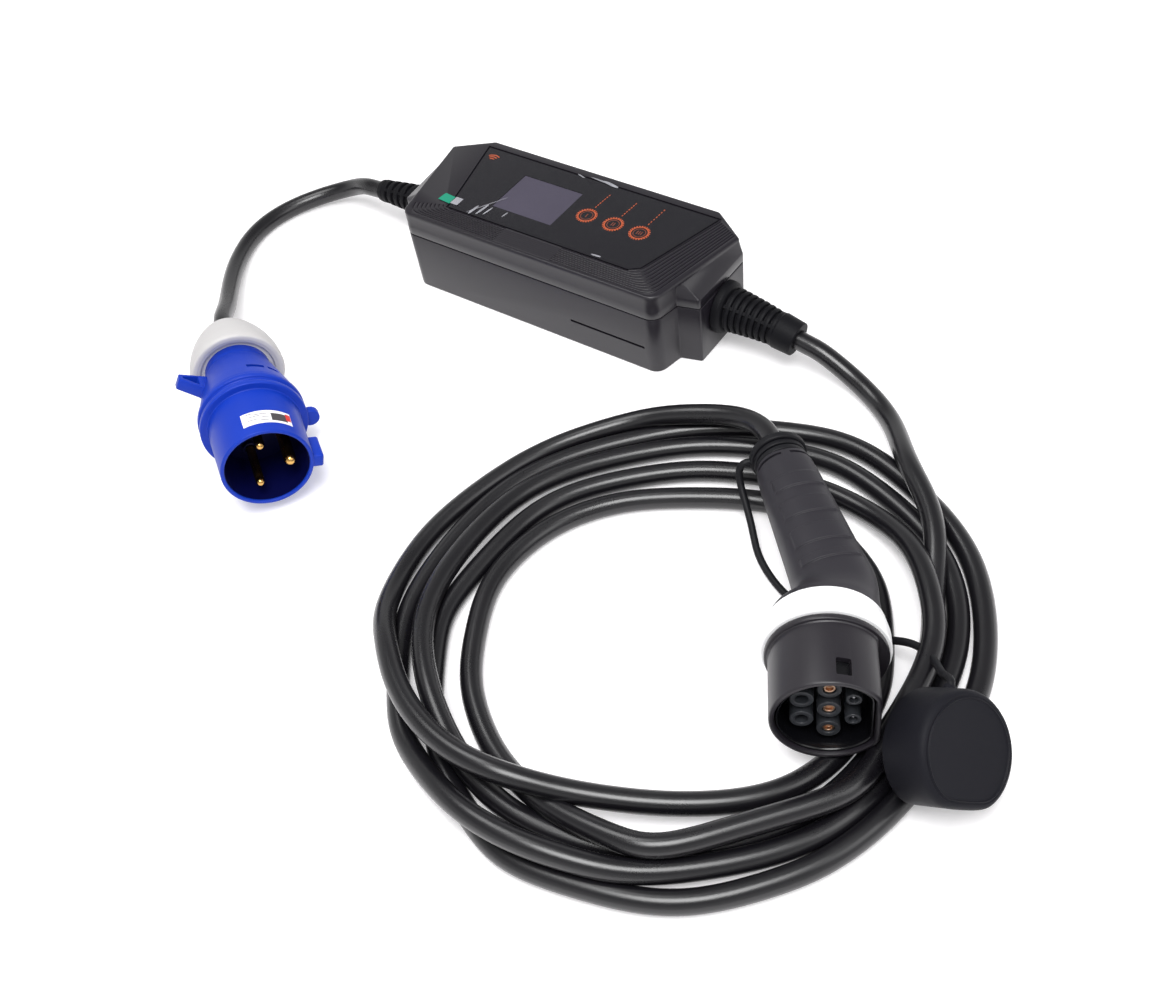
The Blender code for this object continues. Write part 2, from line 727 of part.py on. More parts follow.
def make_screws():
    for number, (x, y) in enumerate(screw_places(), 1):
        seat = SCREW_SEAT_Z - CLEARANCE
        profile = [
            (0.0, seat + SCREW_LENGTH), (SCREW_RADIUS - 0.0006, seat + SCREW_LENGTH),
            (SCREW_RADIUS, seat + SCREW_LENGTH - 0.001), (SCREW_RADIUS, seat), (SCREW_HEAD_RADIUS, seat),
            (SCREW_HEAD_RADIUS, seat - SCREW_HEAD_HEIGHT * 0.6),
            (SCREW_HEAD_RADIUS * 0.75, seat - SCREW_HEAD_HEIGHT), (0.0, seat - SCREW_HEAD_HEIGHT)]
        turned(f"cover_screw_{number}", profile, steel(), Matrix.Translation((x, y, 0.0)), steps=12)


def make_electronics():
    """Main board on the case's standoffs, and the parts soldered to it."""
    box(
        "main_board", (0.0, 0.0, BOARD_SEAT_Z + BOARD_THICKNESS / 2), (*MAIN_BOARD_SIZE, BOARD_THICKNESS),
        board_green(), bevel=0.0004)
    deck = BOARD_SEAT_Z + BOARD_THICKNESS + CLEARANCE
    relay_x = MAIN_BOARD_SIZE[0] / 2 - RELAY_INSET
    for name, x in (("line_relay", relay_x - RELAY_PITCH), ("neutral_relay", relay_x)):
        box(name, (x, RELAY_Y, deck + RELAY_SIZE[2] / 2), RELAY_SIZE, relay_plastic(), bevel=0.001)
    supply_place = (SUPPLY_X, SUPPLY_Y, deck + SUPPLY_SIZE[2] / 2)
    box("power_supply", supply_place, SUPPLY_SIZE, soft_black(), bevel=0.001)
    block_x = TERMINAL_BLOCK_INSET - MAIN_BOARD_SIZE[0] / 2
    box(
        "input_terminal_block", (block_x, 0.0, deck + TERMINAL_BLOCK_SIZE[2] / 2), TERMINAL_BLOCK_SIZE,
        grey_plastic(), bevel=0.0008)
    cylinder(
        "supply_capacitor", (CAPACITOR_X, SMALL_PARTS_Y, deck + CAPACITOR_HEIGHT / 2), CAPACITOR_RADIUS,
        CAPACITOR_HEIGHT, soft_black(), sides=SMALL_SIDES)
    sensor_place = (SENSOR_X, SMALL_PARTS_Y, deck + SENSOR_RADIUS + CLEARANCE)
    sensor_matrix = Matrix.Translation(sensor_place) @ Matrix.Rotation(math.pi / 2, 4, 'Y')
    half = SENSOR_LENGTH / 2
    profile = [(SENSOR_RADIUS, half), (SENSOR_RADIUS, -half), (SENSOR_BORE, -half), (SENSOR_BORE, half)]
    turned("current_sensor", profile, soft_black(), sensor_matrix, steps=MIDDLE_SIDES)


def relief_profile(radii, ribs, length, collar_radius, collar_length):
    """Half section of a ribbed relief: flange, ribs that shrink along it, and a plain end collar."""
    flange_radius, rib_start, rib_end = radii
    neck = flange_radius * NECK_RADIUS_SHARE
    bore = CABLE_RADIUS + CLEARANCE
    flange_length = 0.0060
    waist = 0.0022
    start = flange_length + 0.0012
    pitch = (length - collar_length - start) / ribs
    outside = [(neck, -NECK_LENGTH), (neck, 0.0), (flange_radius, 0.0)]
    outside.append((flange_radius, flange_length - 0.0015))
    outside.append((flange_radius - 0.0015, flange_length))
    for rib in range(ribs):
        share = rib / max(ribs - 1, 1)
        top = rib_start + (rib_end - rib_start) * share
        base = start + rib * pitch
        outside.append((top - waist, base))
        outside.append((top - waist, base + pitch * 0.30))
        outside.append((top, base + pitch * 0.50))
        outside.append((top - 0.0003, base + pitch * 0.96))
    outside.append((collar_radius - 0.0004, length - collar_length))
    outside.append((collar_radius, length - collar_length + 0.001))
    outside.append((collar_radius - 0.0006, length - 0.002))
    outside.append((collar_radius - 0.0026, length))
    outside.append((bore, length))
    outside.append((bore, -NECK_LENGTH))
    return list(reversed(outside))


def bend_along(obj, length, droop, yaw, side):
    """Curve a straight relief that lies on local Z, so that its tip droops and turns aside."""
    mesh = obj.data
    for vertex in mesh.vertices:
        along = vertex.co.z
        if along <= 0.0:
            turn_down = 0.0
            turn_side = 0.0
            centre = Vector((along, 0.0, 0.0))
        else:
            turn_down = droop * along / length
            turn_side = yaw * along / length
            drop = -along * math.sin(turn_down / 2)
            drift = along * math.sin(turn_side / 2)
            centre = Vector((along * math.cos(turn_down / 2) * math.cos(turn_side / 2), drift, drop))
        ahead = math.cos(turn_down) * math.cos(turn_side)
        forward = Vector((ahead, math.sin(turn_side), -math.sin(turn_down)))
        across = Vector((-math.sin(turn_side), math.cos(turn_side), 0.0))
        above = forward.cross(across)
        point = centre + across * vertex.co.x + above * vertex.co.y
        vertex.co = Vector((side * point.x, point.y, point.z))
    mesh.update()


def relief_tip(side, length, droop, yaw):
    """Middle and direction of a bent relief's far end, in the part's own axes."""
    drop = -length * math.sin(droop / 2)
    drift = length * math.sin(yaw / 2)
    along = length * math.cos(droop / 2) * math.cos(yaw / 2)
    root_x = LUG_HALF_LENGTH + CLEARANCE
    tip = Vector((side * (root_x + along), OUTLET_Y + drift, OUTLET_Z + drop))
    direction = Vector((side * math.cos(droop) * math.cos(yaw), math.sin(yaw), -math.sin(droop)))
    return tip, direction.normalized()


def make_relief(name, side, radii, ribs, collar_radius, collar_length, droop, yaw):
    corner = (collar_radius - 0.0006) * math.sin(droop)
    reach = RELIEF_TIP_X - corner - LUG_HALF_LENGTH - CLEARANCE
    length = reach / (math.cos(droop / 2) * math.cos(yaw / 2))
    profile = relief_profile(radii, ribs, length, collar_radius, collar_length)
    obj = applied(turned(name, profile, soft_black(), steps=RELIEF_SIDES))
    bend_along(obj, length, droop, yaw, side)
    bm = bmesh.new()
    bm.from_mesh(obj.data)
    face_outwards(bm)
    bm.to_mesh(obj.data)
    bm.free()
    obj.matrix_world = Matrix.Translation((side * (LUG_HALF_LENGTH + CLEARANCE), OUTLET_Y, OUTLET_Z))
    return relief_tip(side, length, droop, yaw)


def plug_matrix():
    """Local +X points at the plug's key and its earth pin."""
    level_right = Vector((-PLUG_AXIS.y, PLUG_AXIS.x, 0.0)).normalized()
    key = level_right * math.cos(PLUG_KEY_ANGLE) + Vector((0, 0, 1)) * math.sin(PLUG_KEY_ANGLE)
    return frame_matrix(PLUG_MOUTH, PLUG_AXIS, key)


def make_plug():
    place = plug_matrix()
    flange_front = -SHROUD_LENGTH
    flange_back = flange_front - FLANGE_LENGTH
    inner = SHROUD_RADIUS - SHROUD_WALL
    lip = 0.0008
    groove_low = flange_back + FLANGE_LENGTH * 0.35
    groove_high = flange_back + FLANGE_LENGTH * 0.60
    front_profile = [
        (inner, 0.0), (SHROUD_RADIUS - lip, 0.0), (SHROUD_RADIUS, -lip),
        (SHROUD_RADIUS + 0.0010, flange_front), (FLANGE_RADIUS - lip, flange_front),
        (FLANGE_RADIUS, flange_front - lip), (FLANGE_RADIUS, groove_high),
        (FLANGE_RADIUS - FLANGE_GROOVE_DEPTH, groove_high),
        (FLANGE_RADIUS - FLANGE_GROOVE_DEPTH, groove_low),
        (FLANGE_RADIUS, groove_low), (FLANGE_RADIUS, flange_back), (inner, flange_back)]
    shroud = turned("plug_shroud", front_profile, blue_plastic(), place)
    key = box(
        "plug_key", (SHROUD_RADIUS + 0.0028, 0.0, -0.011), (0.0076, 0.0092, 0.022), cutter=True,
        matrix=place, bevel=0.001)
    ear = cylinder("plug_ear", (0, 0, 0), 0.0062, 0.005, cutter=True, sides=SMALL_SIDES)
    ear.matrix_world = place @ Matrix.Translation((FLANGE_RADIUS + 0.0002, 0.0090, flange_front - 0.0055))
    combine(shroud, [key, ear], 'UNION')
    carrier_front = -SHROUD_DEPTH
    carrier_radius = inner - CLEARANCE
    turned(
        "plug_pin_carrier",
        [(0.0, carrier_front), (carrier_radius - 0.001, carrier_front),
         (carrier_radius, carrier_front - 0.001), (carrier_radius, flange_back + CLEARANCE),
         (0.0, flange_back + CLEARANCE)],
        gloss_black(), place)
    carrier = bpy.data.objects["plug_pin_carrier"]
    pins = (("plug_earth_pin", 0.0, EARTH_PIN_RADIUS), ("plug_line_pin", PIN_SPREAD, LINE_PIN_RADIUS),
            ("plug_neutral_pin", -PIN_SPREAD, LINE_PIN_RADIUS))
    for name, angle, radius in pins:
        x = PIN_CIRCLE_RADIUS * math.cos(angle)
        y = PIN_CIRCLE_RADIUS * math.sin(angle)
        seat = cylinder(
            name + "_bore", (x, y, carrier_front), radius + CLEARANCE, 0.024, cutter=True, matrix=place,
            sides=SMALL_SIDES)
        combine(carrier, [seat])
        tip = -PIN_TIP_DEPTH
        base = carrier_front - 0.0115
        profile = [
            (0.0, tip), (radius * 0.45, tip), (radius * 0.85, tip - radius * 0.3),
            (radius, tip - radius * 0.8), (radius, base), (0.0, base)]
        turned(name, profile, brass(), place @ Matrix.Translation((x, y, 0.0)), steps=SMALL_SIDES)
    body_front = flange_back - CLEARANCE
    body_back = body_front - REAR_BODY_LENGTH
    spigot_back = body_back - REAR_SPIGOT_LENGTH
    rear_profile = [
        (0.0, body_front), (FLANGE_RADIUS - 0.0015, body_front),
        (FLANGE_RADIUS - 0.0020, body_front - 0.0030), (REAR_BODY_RADIUS_FRONT, body_front - 0.0075),
        (REAR_BODY_RADIUS_BACK + 0.0022, body_back + 0.012), (REAR_BODY_RADIUS_BACK, body_back),
        (REAR_SPIGOT_RADIUS, body_back), (REAR_SPIGOT_RADIUS, spigot_back), (0.0, spigot_back)]
    rear = turned("plug_rear_body", rear_profile, blue_plastic(), place)
    make_plug_lug(rear, place, body_front)
    for number, angle in enumerate((112.0, 88.0), 1):
        turn = Matrix.Rotation(math.radians(angle), 4, 'Z')
        slot = box(
            f"plug_latch_slot_{number}", (REAR_BODY_RADIUS_FRONT - 0.0012, 0.0, body_front - 0.0125),
            (0.006, 0.0086, 0.0026), cutter=True, matrix=place @ turn)
        combine(rear, [slot])
    bore = cylinder(
        "plug_cable_bore", (0, 0, spigot_back + 0.015), CABLE_RADIUS + CLEARANCE, 0.036, cutter=True,
        matrix=place)
    combine(rear, [bore])
    make_plug_nut(place, body_back, spigot_back)
    make_plug_label(place)
    return place, body_back


def make_plug_lug(rear, place, body_front):
    """The hollow triangular lug that stands out from the rear body."""
    turn = Matrix.Rotation(math.radians(163.0), 4, 'Z')
    matrix = place @ turn @ Matrix.Rotation(math.pi / 2, 4, 'X')
    root = REAR_BODY_RADIUS_FRONT - 0.0060
    tip = REAR_BODY_RADIUS_FRONT + 0.0145
    front = body_front - 0.0050
    back = body_front - 0.0230
    outline = [
        Vector((tip, back + 0.0075)), Vector((tip, back + 0.0030)), Vector((root, back)),
        Vector((root, front))]
    lug = prism("plug_lug", outline, -0.0042, 0.0042, matrix=matrix, cutter=True)
    combine(rear, [lug], 'UNION')
    inner = [Vector((root + 0.0070, front - 0.0060)), Vector((root + 0.0070, back + 0.0016)),
             Vector((tip - 0.0025, back + 0.0046))]
    hollow = prism("plug_lug_hollow", list(reversed(inner)), -0.0026, 0.0060, matrix=matrix, cutter=True)
    combine(rear, [hollow])


def make_plug_nut(place, body_back, spigot_back):
    """Rounded gland nut with a sealing ring behind it, round the cable."""
    nut_front = body_back + NUT_OVERLAP
    nut_back = nut_front - NUT_LENGTH
    mouth = REAR_BODY_RADIUS_BACK + 0.0028
    thread = REAR_SPIGOT_RADIUS + CLEARANCE
    outside = [
        (mouth, nut_front - 0.0028), (NUT_RADIUS - 0.0038, nut_front - 0.0006),
        (NUT_RADIUS - 0.0016, nut_front), (NUT_RADIUS, nut_front - 0.0020),
        (NUT_RADIUS - 0.0006, nut_front - 0.0100),
        (NUT_RADIUS - 0.0032, nut_front - 0.0220), (NUT_RADIUS - 0.0078, nut_front - 0.0340),
        (NUT_RADIUS - 0.0140, nut_front - 0.0440), (NUT_RADIUS - 0.0196, nut_front - 0.0500),
        (CABLE_RADIUS + 0.0026, nut_back), (CABLE_RADIUS + CLEARANCE, nut_back),
        (CABLE_RADIUS + CLEARANCE, nut_back + 0.0040), (0.0150, nut_back + 0.0090),
        (thread, nut_back + 0.0170), (thread, body_back - CLEARANCE), (mouth, body_back - CLEARANCE)]
    turned("plug_gland_nut", outside, grey_plastic(), place, steps=MIDDLE_SIDES)
    seal_high = spigot_back - CLEARANCE
    seal_low = nut_back + 0.0095
    profile = [(0.0140, seal_high), (0.0140, seal_low), (CABLE_RADIUS + CLEARANCE, seal_low),
               (CABLE_RADIUS + CLEARANCE, seal_high)]
    turned("plug_gland_seal", profile, soft_black(), place, steps=SMALL_SIDES)


def make_plug_label(place):
    """Blank curved label on the shroud."""
    low = SHROUD_RADIUS + 0.0011 + CLEARANCE
    high = low + 0.0002
    sections = []
    for step in range(9):
        angle = math.radians(73.0 + 62.0 * step / 8)
        ray = Vector((math.cos(angle), math.sin(angle), 0.0))
        sections.append([
            ray * low + Vector((0, 0, -0.0300)), ray * high + Vector((0, 0, -0.0300)),
            ray * high + Vector((0, 0, -0.0175)), ray * low + Vector((0, 0, -0.0175))])
    loft("plug_label", sections, label_white(), place)


def nose_matrix():
    """Local +X points at the flat of the connector's nose, which lies on its side."""
    right = Vector((-NOSE_AXIS.y, NOSE_AXIS.x, 0.0))
    return frame_matrix(FACE_CENTRE, NOSE_AXIS, right)


def d_section(radius, flat, z, count=LARGE_SIDES):
    """A circle cut off by a flat at +X."""
    points = []
    for i in range(count):
        angle = 2 * math.pi * (i + 0.5) / count
        points.append(Vector((min(radius * math.cos(angle), flat), radius * math.sin(angle), z)))
    return points


def contact_places():
    """Name, place and size of the seven contacts: two small, three large, two large and empty."""
    half = CONTACT_PITCH / 2
    return (
        ("pilot", PILOT_ROW_X, half, SMALL_CONTACT_RADIUS, True),
        ("proximity", PILOT_ROW_X, -half, SMALL_CONTACT_RADIUS, True),
        ("line", 0.0, CONTACT_PITCH, LARGE_CONTACT_RADIUS, True),
        ("earth", 0.0, 0.0, LARGE_CONTACT_RADIUS, True),
        ("neutral", 0.0, -CONTACT_PITCH, LARGE_CONTACT_RADIUS, True),
        ("spare_a", SPARE_ROW_X, half, LARGE_CONTACT_RADIUS, False),
        ("spare_b", SPARE_ROW_X, -half, LARGE_CONTACT_RADIUS, False))


def make_nose():
    place = nose_matrix()
    back = -NOSE_LENGTH
    sections = [
        d_section(COLLAR_BACK_RADIUS - 0.004, 1.0, back - RIM_LENGTH - 0.012),
        d_section(COLLAR_BACK_RADIUS - 0.004, 1.0, back - RIM_LENGTH),
        d_section(RIM_RADIUS - 0.0006, 1.0, back - RIM_LENGTH),
        d_section(RIM_RADIUS, 1.0, back - RIM_LENGTH + 0.0008),
        d_section(RIM_RADIUS, 1.0, back - 0.0008), d_section(RIM_RADIUS - 0.0008, 1.0, back),
        d_section(NOSE_RADIUS + 0.0004, NOSE_FLAT + 0.0006, back),
        d_section(NOSE_RADIUS, NOSE_FLAT, -0.0012),
        d_section(NOSE_RADIUS - 0.0010, NOSE_FLAT - 0.0010, 0.0)]
    nose = loft("connector_nose", sections, black_plastic(), place)
    inside = [
        d_section(NOSE_RADIUS - NOSE_WALL, NOSE_FLAT - NOSE_WALL, -NOSE_RECESS),
        d_section(NOSE_RADIUS - NOSE_WALL, NOSE_FLAT - NOSE_WALL, 0.001)]
    combine(nose, [loft("nose_recess", inside, matrix=place, cutter=True)])
    turn = Matrix.Rotation(math.radians(77.0), 4, 'Z')
    lock = box(
        "nose_lock_hole", (NOSE_RADIUS - 0.001, 0.0, -0.0115), (0.010, LOCK_HOLE_WIDTH, LOCK_HOLE_LENGTH),
        cutter=True, matrix=place @ turn)
    side_slot = box(
        "nose_side_slot", (-NOSE_RADIUS, 0.0, -0.0110), (0.004, 0.0040, 0.0100), cutter=True, matrix=place)
    combine(nose, [lock, side_slot])
    insert_low = -NOSE_RECESS + CLEARANCE
    insert_high = insert_low + 0.0035
    edge = NOSE_WALL + CLEARANCE
    insert = loft(
        "connector_insert",
        [d_section(NOSE_RADIUS - edge, NOSE_FLAT - edge, insert_low),
         d_section(NOSE_RADIUS - edge, NOSE_FLAT - edge, insert_high)],
        gloss_black(), place)
    for name, x, y, radius, fitted in contact_places():
        tower_high = insert_low + TOWER_HEIGHT
        tower_low = insert_low + 0.001
        tower = cylinder(
            f"{name}_tower", (x, y, (tower_low + tower_high) / 2), radius, tower_high - tower_low,
            cutter=True, matrix=place, sides=SMALL_SIDES)
        combine(insert, [tower], 'UNION')
        hole_radius = radius * CONTACT_HOLE_SHARE
        hole_depth = 0.0160
        hole = cylinder(
            f"{name}_hole", (x, y, tower_high - hole_depth / 2 + 0.001), hole_radius, hole_depth + 0.002,
            cutter=True, matrix=place, sides=CONTACT_SIDES)
        combine(insert, [hole])
        if fitted:
            outer = hole_radius - CLEARANCE
            high = tower_high - 0.0022
            low = tower_high - hole_depth + CLEARANCE
            profile = [(outer, high), (outer, low), (0.0, low)]
            bore = outer - SLEEVE_WALL
            full = [(0.0, low + 0.0015), (bore, low + 0.0015), (bore, high)] + profile
            seat = place @ Matrix.Translation((x, y, 0.0))
            turned(f"{name}_contact", full, copper(), seat, steps=CONTACT_SIDES)
    collar_front = back - RIM_LENGTH - CLEARANCE
    collar_back = collar_front - COLLAR_LENGTH
    core = COLLAR_BACK_RADIUS - 0.004 + CLEARANCE
    profile = [
        (COLLAR_FRONT_RADIUS, collar_front), (COLLAR_FRONT_RADIUS - 0.0004, collar_front - 0.008),
        (COLLAR_BACK_RADIUS, collar_back + 0.0006), (COLLAR_BACK_RADIUS - 0.0006, collar_back),
        (core, collar_back), (core, collar_front)]
    turned("connector_collar", profile, white_plastic(), place)
    return place, collar_back


# Handle stations: how far back along the nose axis, the half width and the half height
GRIP_TURN = math.radians(15.6)
GRIP_LIFT = math.radians(1.8)
GRIP_ASIDE = 0.0133
GRIP_RAISE = 0.0031
GRIP_BLEND_LENGTH = 0.030
HANDLE_LENGTH = 0.122
HANDLE_STATIONS = (
    (0.000, 0.0312, 0.0312),
    (0.005, 0.0298, 0.0296),
    (0.011, 0.0272, 0.0264),
    (0.018, 0.0250, 0.0232),
    (0.027, 0.0234, 0.0209),
    (0.040, 0.0222, 0.0198),
    (0.055, 0.0213, 0.0193),
    (0.072, 0.0204, 0.0189),
    (0.090, 0.0194, 0.0184),
    (0.106, 0.0184, 0.0178),
    (0.116, 0.0176, 0.0172),
    (HANDLE_LENGTH, 0.0166, 0.0164))

# Raised pads across the top of the grip: where each starts and ends behind the collar
GRIP_PADS = ((0.0316, 0.0363), (0.0453, 0.0575), (0.0676, 0.0792), (0.0898, 0.0993))
PAD_RISE = 0.0006
PAD_SLOPE = 0.0007
PAD_HALF_ANGLE = math.radians(46.0)
GRIP_SIDES = 20

# Two curved slots before the grip's rear end, in degrees from the top
REAR_SLOT_DISTANCE = 0.1180
REAR_SLOT_WIDTH = 0.0020
REAR_SLOT_DEPTH = 0.0015
REAR_SLOT_ARCS = ((-70.0, -10.0), (10.0, 60.0))


def smoothstep(value):
    value = min(max(value, 0.0), 1.0)
    return value * value * (3.0 - 2.0 * value)


def grip_place(distance, collar_back):
    """Middle of the grip's section and its direction, in the nose's own axes."""
    share = smoothstep(distance / GRIP_BLEND_LENGTH)
    aside = share * (GRIP_ASIDE - distance * math.tan(GRIP_TURN))
    raised = share * (GRIP_RAISE + distance * math.tan(GRIP_LIFT))
    middle = Vector((aside, raised, collar_back - CLEARANCE - distance))
    direction = Vector((-math.tan(GRIP_TURN * share), math.tan(GRIP_LIFT * share), -1.0))
    return middle, direction.normalized()


def grip_section(distance, half_width, half_height, collar_back, count=GRIP_SIDES):
    """One section of the grip, with its top raised where it runs through a pad."""
    middle, direction = grip_place(distance, collar_back)
    across = direction.cross(Vector((0.0, 1.0, 0.0))).normalized()
    above = across.cross(direction)
    in_pad = any(start <= distance <= end for start, end in GRIP_PADS)
    points = []
    for i in range(count):
        angle = 2 * math.pi * i / count
        cosine = math.cos(angle)
        sine = math.sin(angle)
        power = 0.88
        rise = PAD_RISE if in_pad and abs(angle - math.pi / 2) <= PAD_HALF_ANGLE else 0.0
        wide = math.copysign(abs(cosine) ** power, cosine) * (half_width + rise)
        tall = math.copysign(abs(sine) ** power, sine) * (half_height + rise)
        points.append(middle + across * wide + above * tall)
    return points


def station_at(distance):
    """Read the handle's half sizes between two stations."""
    for before, after in zip(HANDLE_STATIONS, HANDLE_STATIONS[1:]):
        if before[0] <= distance <= after[0]:
            share = (distance - before[0]) / (after[0] - before[0])
            return [a + (b - a) * share for a, b in zip(before[1:], after[1:])]
    return HANDLE_STATIONS[-1][1:]


def make_handle(place, collar_back):
    distances = {station[0] for station in HANDLE_STATIONS}
    for start, end in GRIP_PADS:
        distances.update((start - PAD_SLOPE, start, end, end + PAD_SLOPE))
    sections = []
    for distance in sorted(distances):
        half_width, half_height = station_at(distance)
        sections.append(grip_section(distance, half_width, half_height, collar_back))
    handle = loft("connector_handle", sections, soft_black(), place)
    core_radius = COLLAR_BACK_RADIUS - 0.0037
    core = turned(
        "handle_core_bore", [(0.0, 0.010), (core_radius, 0.010), (core_radius, -0.0035), (0.0, -0.0035)],
        matrix=place @ Matrix.Translation((0, 0, collar_back)), cutter=True)
    combine(handle, [core])
    end, direction = grip_place(HANDLE_LENGTH, collar_back)
    local = frame_matrix(end, direction, Vector((1.0, 0.0, 0.0)))
    entry = place @ local
    bore = cylinder(
        "handle_cable_bore", (0, 0, 0.0), CABLE_RADIUS + CLEARANCE, 0.040, cutter=True, matrix=entry)
    combine(handle, [bore])
    for number, (first, last) in enumerate(REAR_SLOT_ARCS, 1):
        combine(handle, [rear_slot(f"grip_rear_slot_{number}", first, last, entry)])
    return entry, make_rear_boot(entry)


def rear_slot(name, first, last, entry, steps=6):
    """A cutter that bends round the grip, whose top lies at local -Y of its rear end."""
    outside = station_at(REAR_SLOT_DISTANCE)[0]
    middle = REAR_SLOT_DISTANCE - HANDLE_LENGTH
    low = Vector((0.0, 0.0, middle - REAR_SLOT_WIDTH / 2))
    high = Vector((0.0, 0.0, middle + REAR_SLOT_WIDTH / 2))
    sections = []
    for step in range(steps + 1):
        angle = math.radians(first + (last - first) * step / steps)
        ray = Vector((math.sin(angle), -math.cos(angle), 0.0))
        inner = ray * (outside - REAR_SLOT_DEPTH)
        outer = ray * (outside + 0.002)
        sections.append([inner + low, outer + low, outer + high, inner + high])
    return loft(name, sections, matrix=entry, cutter=True)


def boot_stations():
    """Distances behind the grip: first ring, second ring, tether groove, third ring and nozzle."""
    first = CLEARANCE
    second = first + BOOT_RING_LENGTH + BOOT_WAIST_LENGTH
    groove = second + BOOT_RING_LENGTH
    third = groove + TETHER_RING_WIDTH + 2 * CLEARANCE
    nozzle = third + BOOT_RING_LENGTH
    return first, second, groove, third, nozzle


def make_rear_boot(entry):
    """Stepped boot behind the grip, with the tether's ring in the groove before its last step."""
    first, second, groove, third, nozzle = boot_stations()
    bore = CABLE_RADIUS + CLEARANCE
    edge = 0.0007
    waist = BOOT_RADIUS - 0.0028
    first_end = first + BOOT_RING_LENGTH
    nozzle_end = nozzle + BOOT_NOZZLE_LENGTH
    outside = [
        (BOOT_RADIUS, first), (BOOT_RADIUS, first_end - edge), (BOOT_RADIUS - edge, first_end),
        (waist, first_end), (waist, second), (BOOT_RADIUS - edge, second), (BOOT_RADIUS, second + edge),
        (BOOT_RADIUS - edge, groove), (waist, groove), (waist, third), (BOOT_RADIUS - 0.0016, third),
        (BOOT_RADIUS - 0.0018, nozzle - edge), (BOOT_RADIUS - 0.0028, nozzle),
        (CABLE_RADIUS + 0.0030, nozzle),
        (CABLE_RADIUS + 0.0020, nozzle_end), (bore, nozzle_end), (bore, first)]
    turned("connector_boot", outside, soft_black(), entry, steps=SMALL_SIDES)
    inner = waist + CLEARANCE
    outer = waist + TETHER_RING_THICKNESS
    low = groove + CLEARANCE
    high = low + TETHER_RING_WIDTH
    round_edge = 0.0012
    ring = [(inner, high), (outer - round_edge, high), (outer, high - round_edge), (outer, low + round_edge),
            (outer - round_edge, low), (inner, low)]
    turned("tether_ring", ring, soft_black(), entry, steps=SMALL_SIDES)
    return nozzle + BOOT_NOZZLE_LENGTH


def tube(name, points, radius, finish, resolution=2, cyclic=False, samples=None):
    """A round cord through hand-chosen points, on a smooth curve read at even steps."""
    route = smooth_route(points, samples, cyclic) if samples else points
    curve = bpy.data.curves.new(name, 'CURVE')
    curve.dimensions = '3D'
    curve.bevel_depth = radius
    curve.bevel_resolution = resolution
    curve.use_fill_caps = True
    spline = curve.splines.new('POLY')
    spline.points.add(len(route) - 1)
    for target, point in zip(spline.points, route):
        target.co = (point[0], point[1], point[2], 1.0)
    spline.use_cyclic_u = cyclic
    return link(bpy.data.objects.new(name, curve), finish)


def smooth_route(points, samples, cyclic=False):
    """Even samples of a Catmull-Rom curve through the points."""
    knots = [Vector(point) for point in points]
    count = len(knots)
    spans = count if cyclic else count - 1
    dense = []
    per_span = 24
    for span in range(spans):
        if cyclic:
            a, b, c, d = (knots[(span + shift) % count] for shift in (-1, 0, 1, 2))
        else:
            b = knots[span]
            c = knots[span + 1]
            a = knots[span - 1] if span > 0 else b * 2 - c
            d = knots[span + 2] if span + 2 < count else c * 2 - b
        for step in range(per_span):
            t = step / per_span
            dense.append(0.5 * (2 * b + (c - a) * t + (2 * a - 5 * b + 4 * c - d) * t ** 2
                                + (3 * b - a - 3 * c + d) * t ** 3))
    if not cyclic:
        dense.append(knots[-1])
    else:
        dense.append(dense[0])
    lengths = [0.0]
    for first, second in zip(dense, dense[1:]):
        lengths.append(lengths[-1] + (second - first).length)
    stops = samples if cyclic else samples - 1
    route = []
    index = 0
    for number in range(samples):
        target = lengths[-1] * number / stops
        while index < len(lengths) - 2 and lengths[index + 1] < target:
            index += 1
        gap = lengths[index + 1] - lengths[index]
        share = (target - lengths[index]) / gap if gap else 0.0
        route.append(dense[index] + (dense[index + 1] - dense[index]) * share)
    return route


def cap_matrix():
    """Local +Z is the cap's face; local +X is its flat, which points down."""
    return frame_matrix(CAP_FACE_CENTRE, CAP_AXIS, Vector((0.0, 0.0, -1.0)))


def make_cap():
    place = cap_matrix()
    rim = 0.0045
    sections = [
        d_section(CAP_RADIUS - 0.0006, CAP_FLAT - 0.0006, -CAP_DEPTH),
        d_section(CAP_RADIUS, CAP_FLAT, -CAP_DEPTH + 0.001),
        d_section(CAP_RADIUS - 0.0006, CAP_FLAT - 0.0006, -0.0042),
        d_section(CAP_RADIUS - 0.0016, CAP_FLAT - 0.0016, -0.0016),
        d_section(CAP_RADIUS - rim + 0.0010, CAP_FLAT - rim + 0.0010, -0.0004),
        d_section(CAP_RADIUS - rim, CAP_FLAT - rim, -0.0008),
        d_section(CAP_RADIUS - rim - 0.0008, CAP_FLAT - rim - 0.0008, -0.0003)]
    cap = loft("protective_cap", sections, soft_black(), place)
    inside = [
        d_section(CAP_RADIUS - CAP_WALL, CAP_FLAT - CAP_WALL, -CAP_DEPTH - 0.001),
        d_section(CAP_RADIUS - CAP_WALL, CAP_FLAT - CAP_WALL, -CAP_FACE_WALL)]
    combine(cap, [loft("cap_hollow", inside, matrix=place, cutter=True)])
    return place


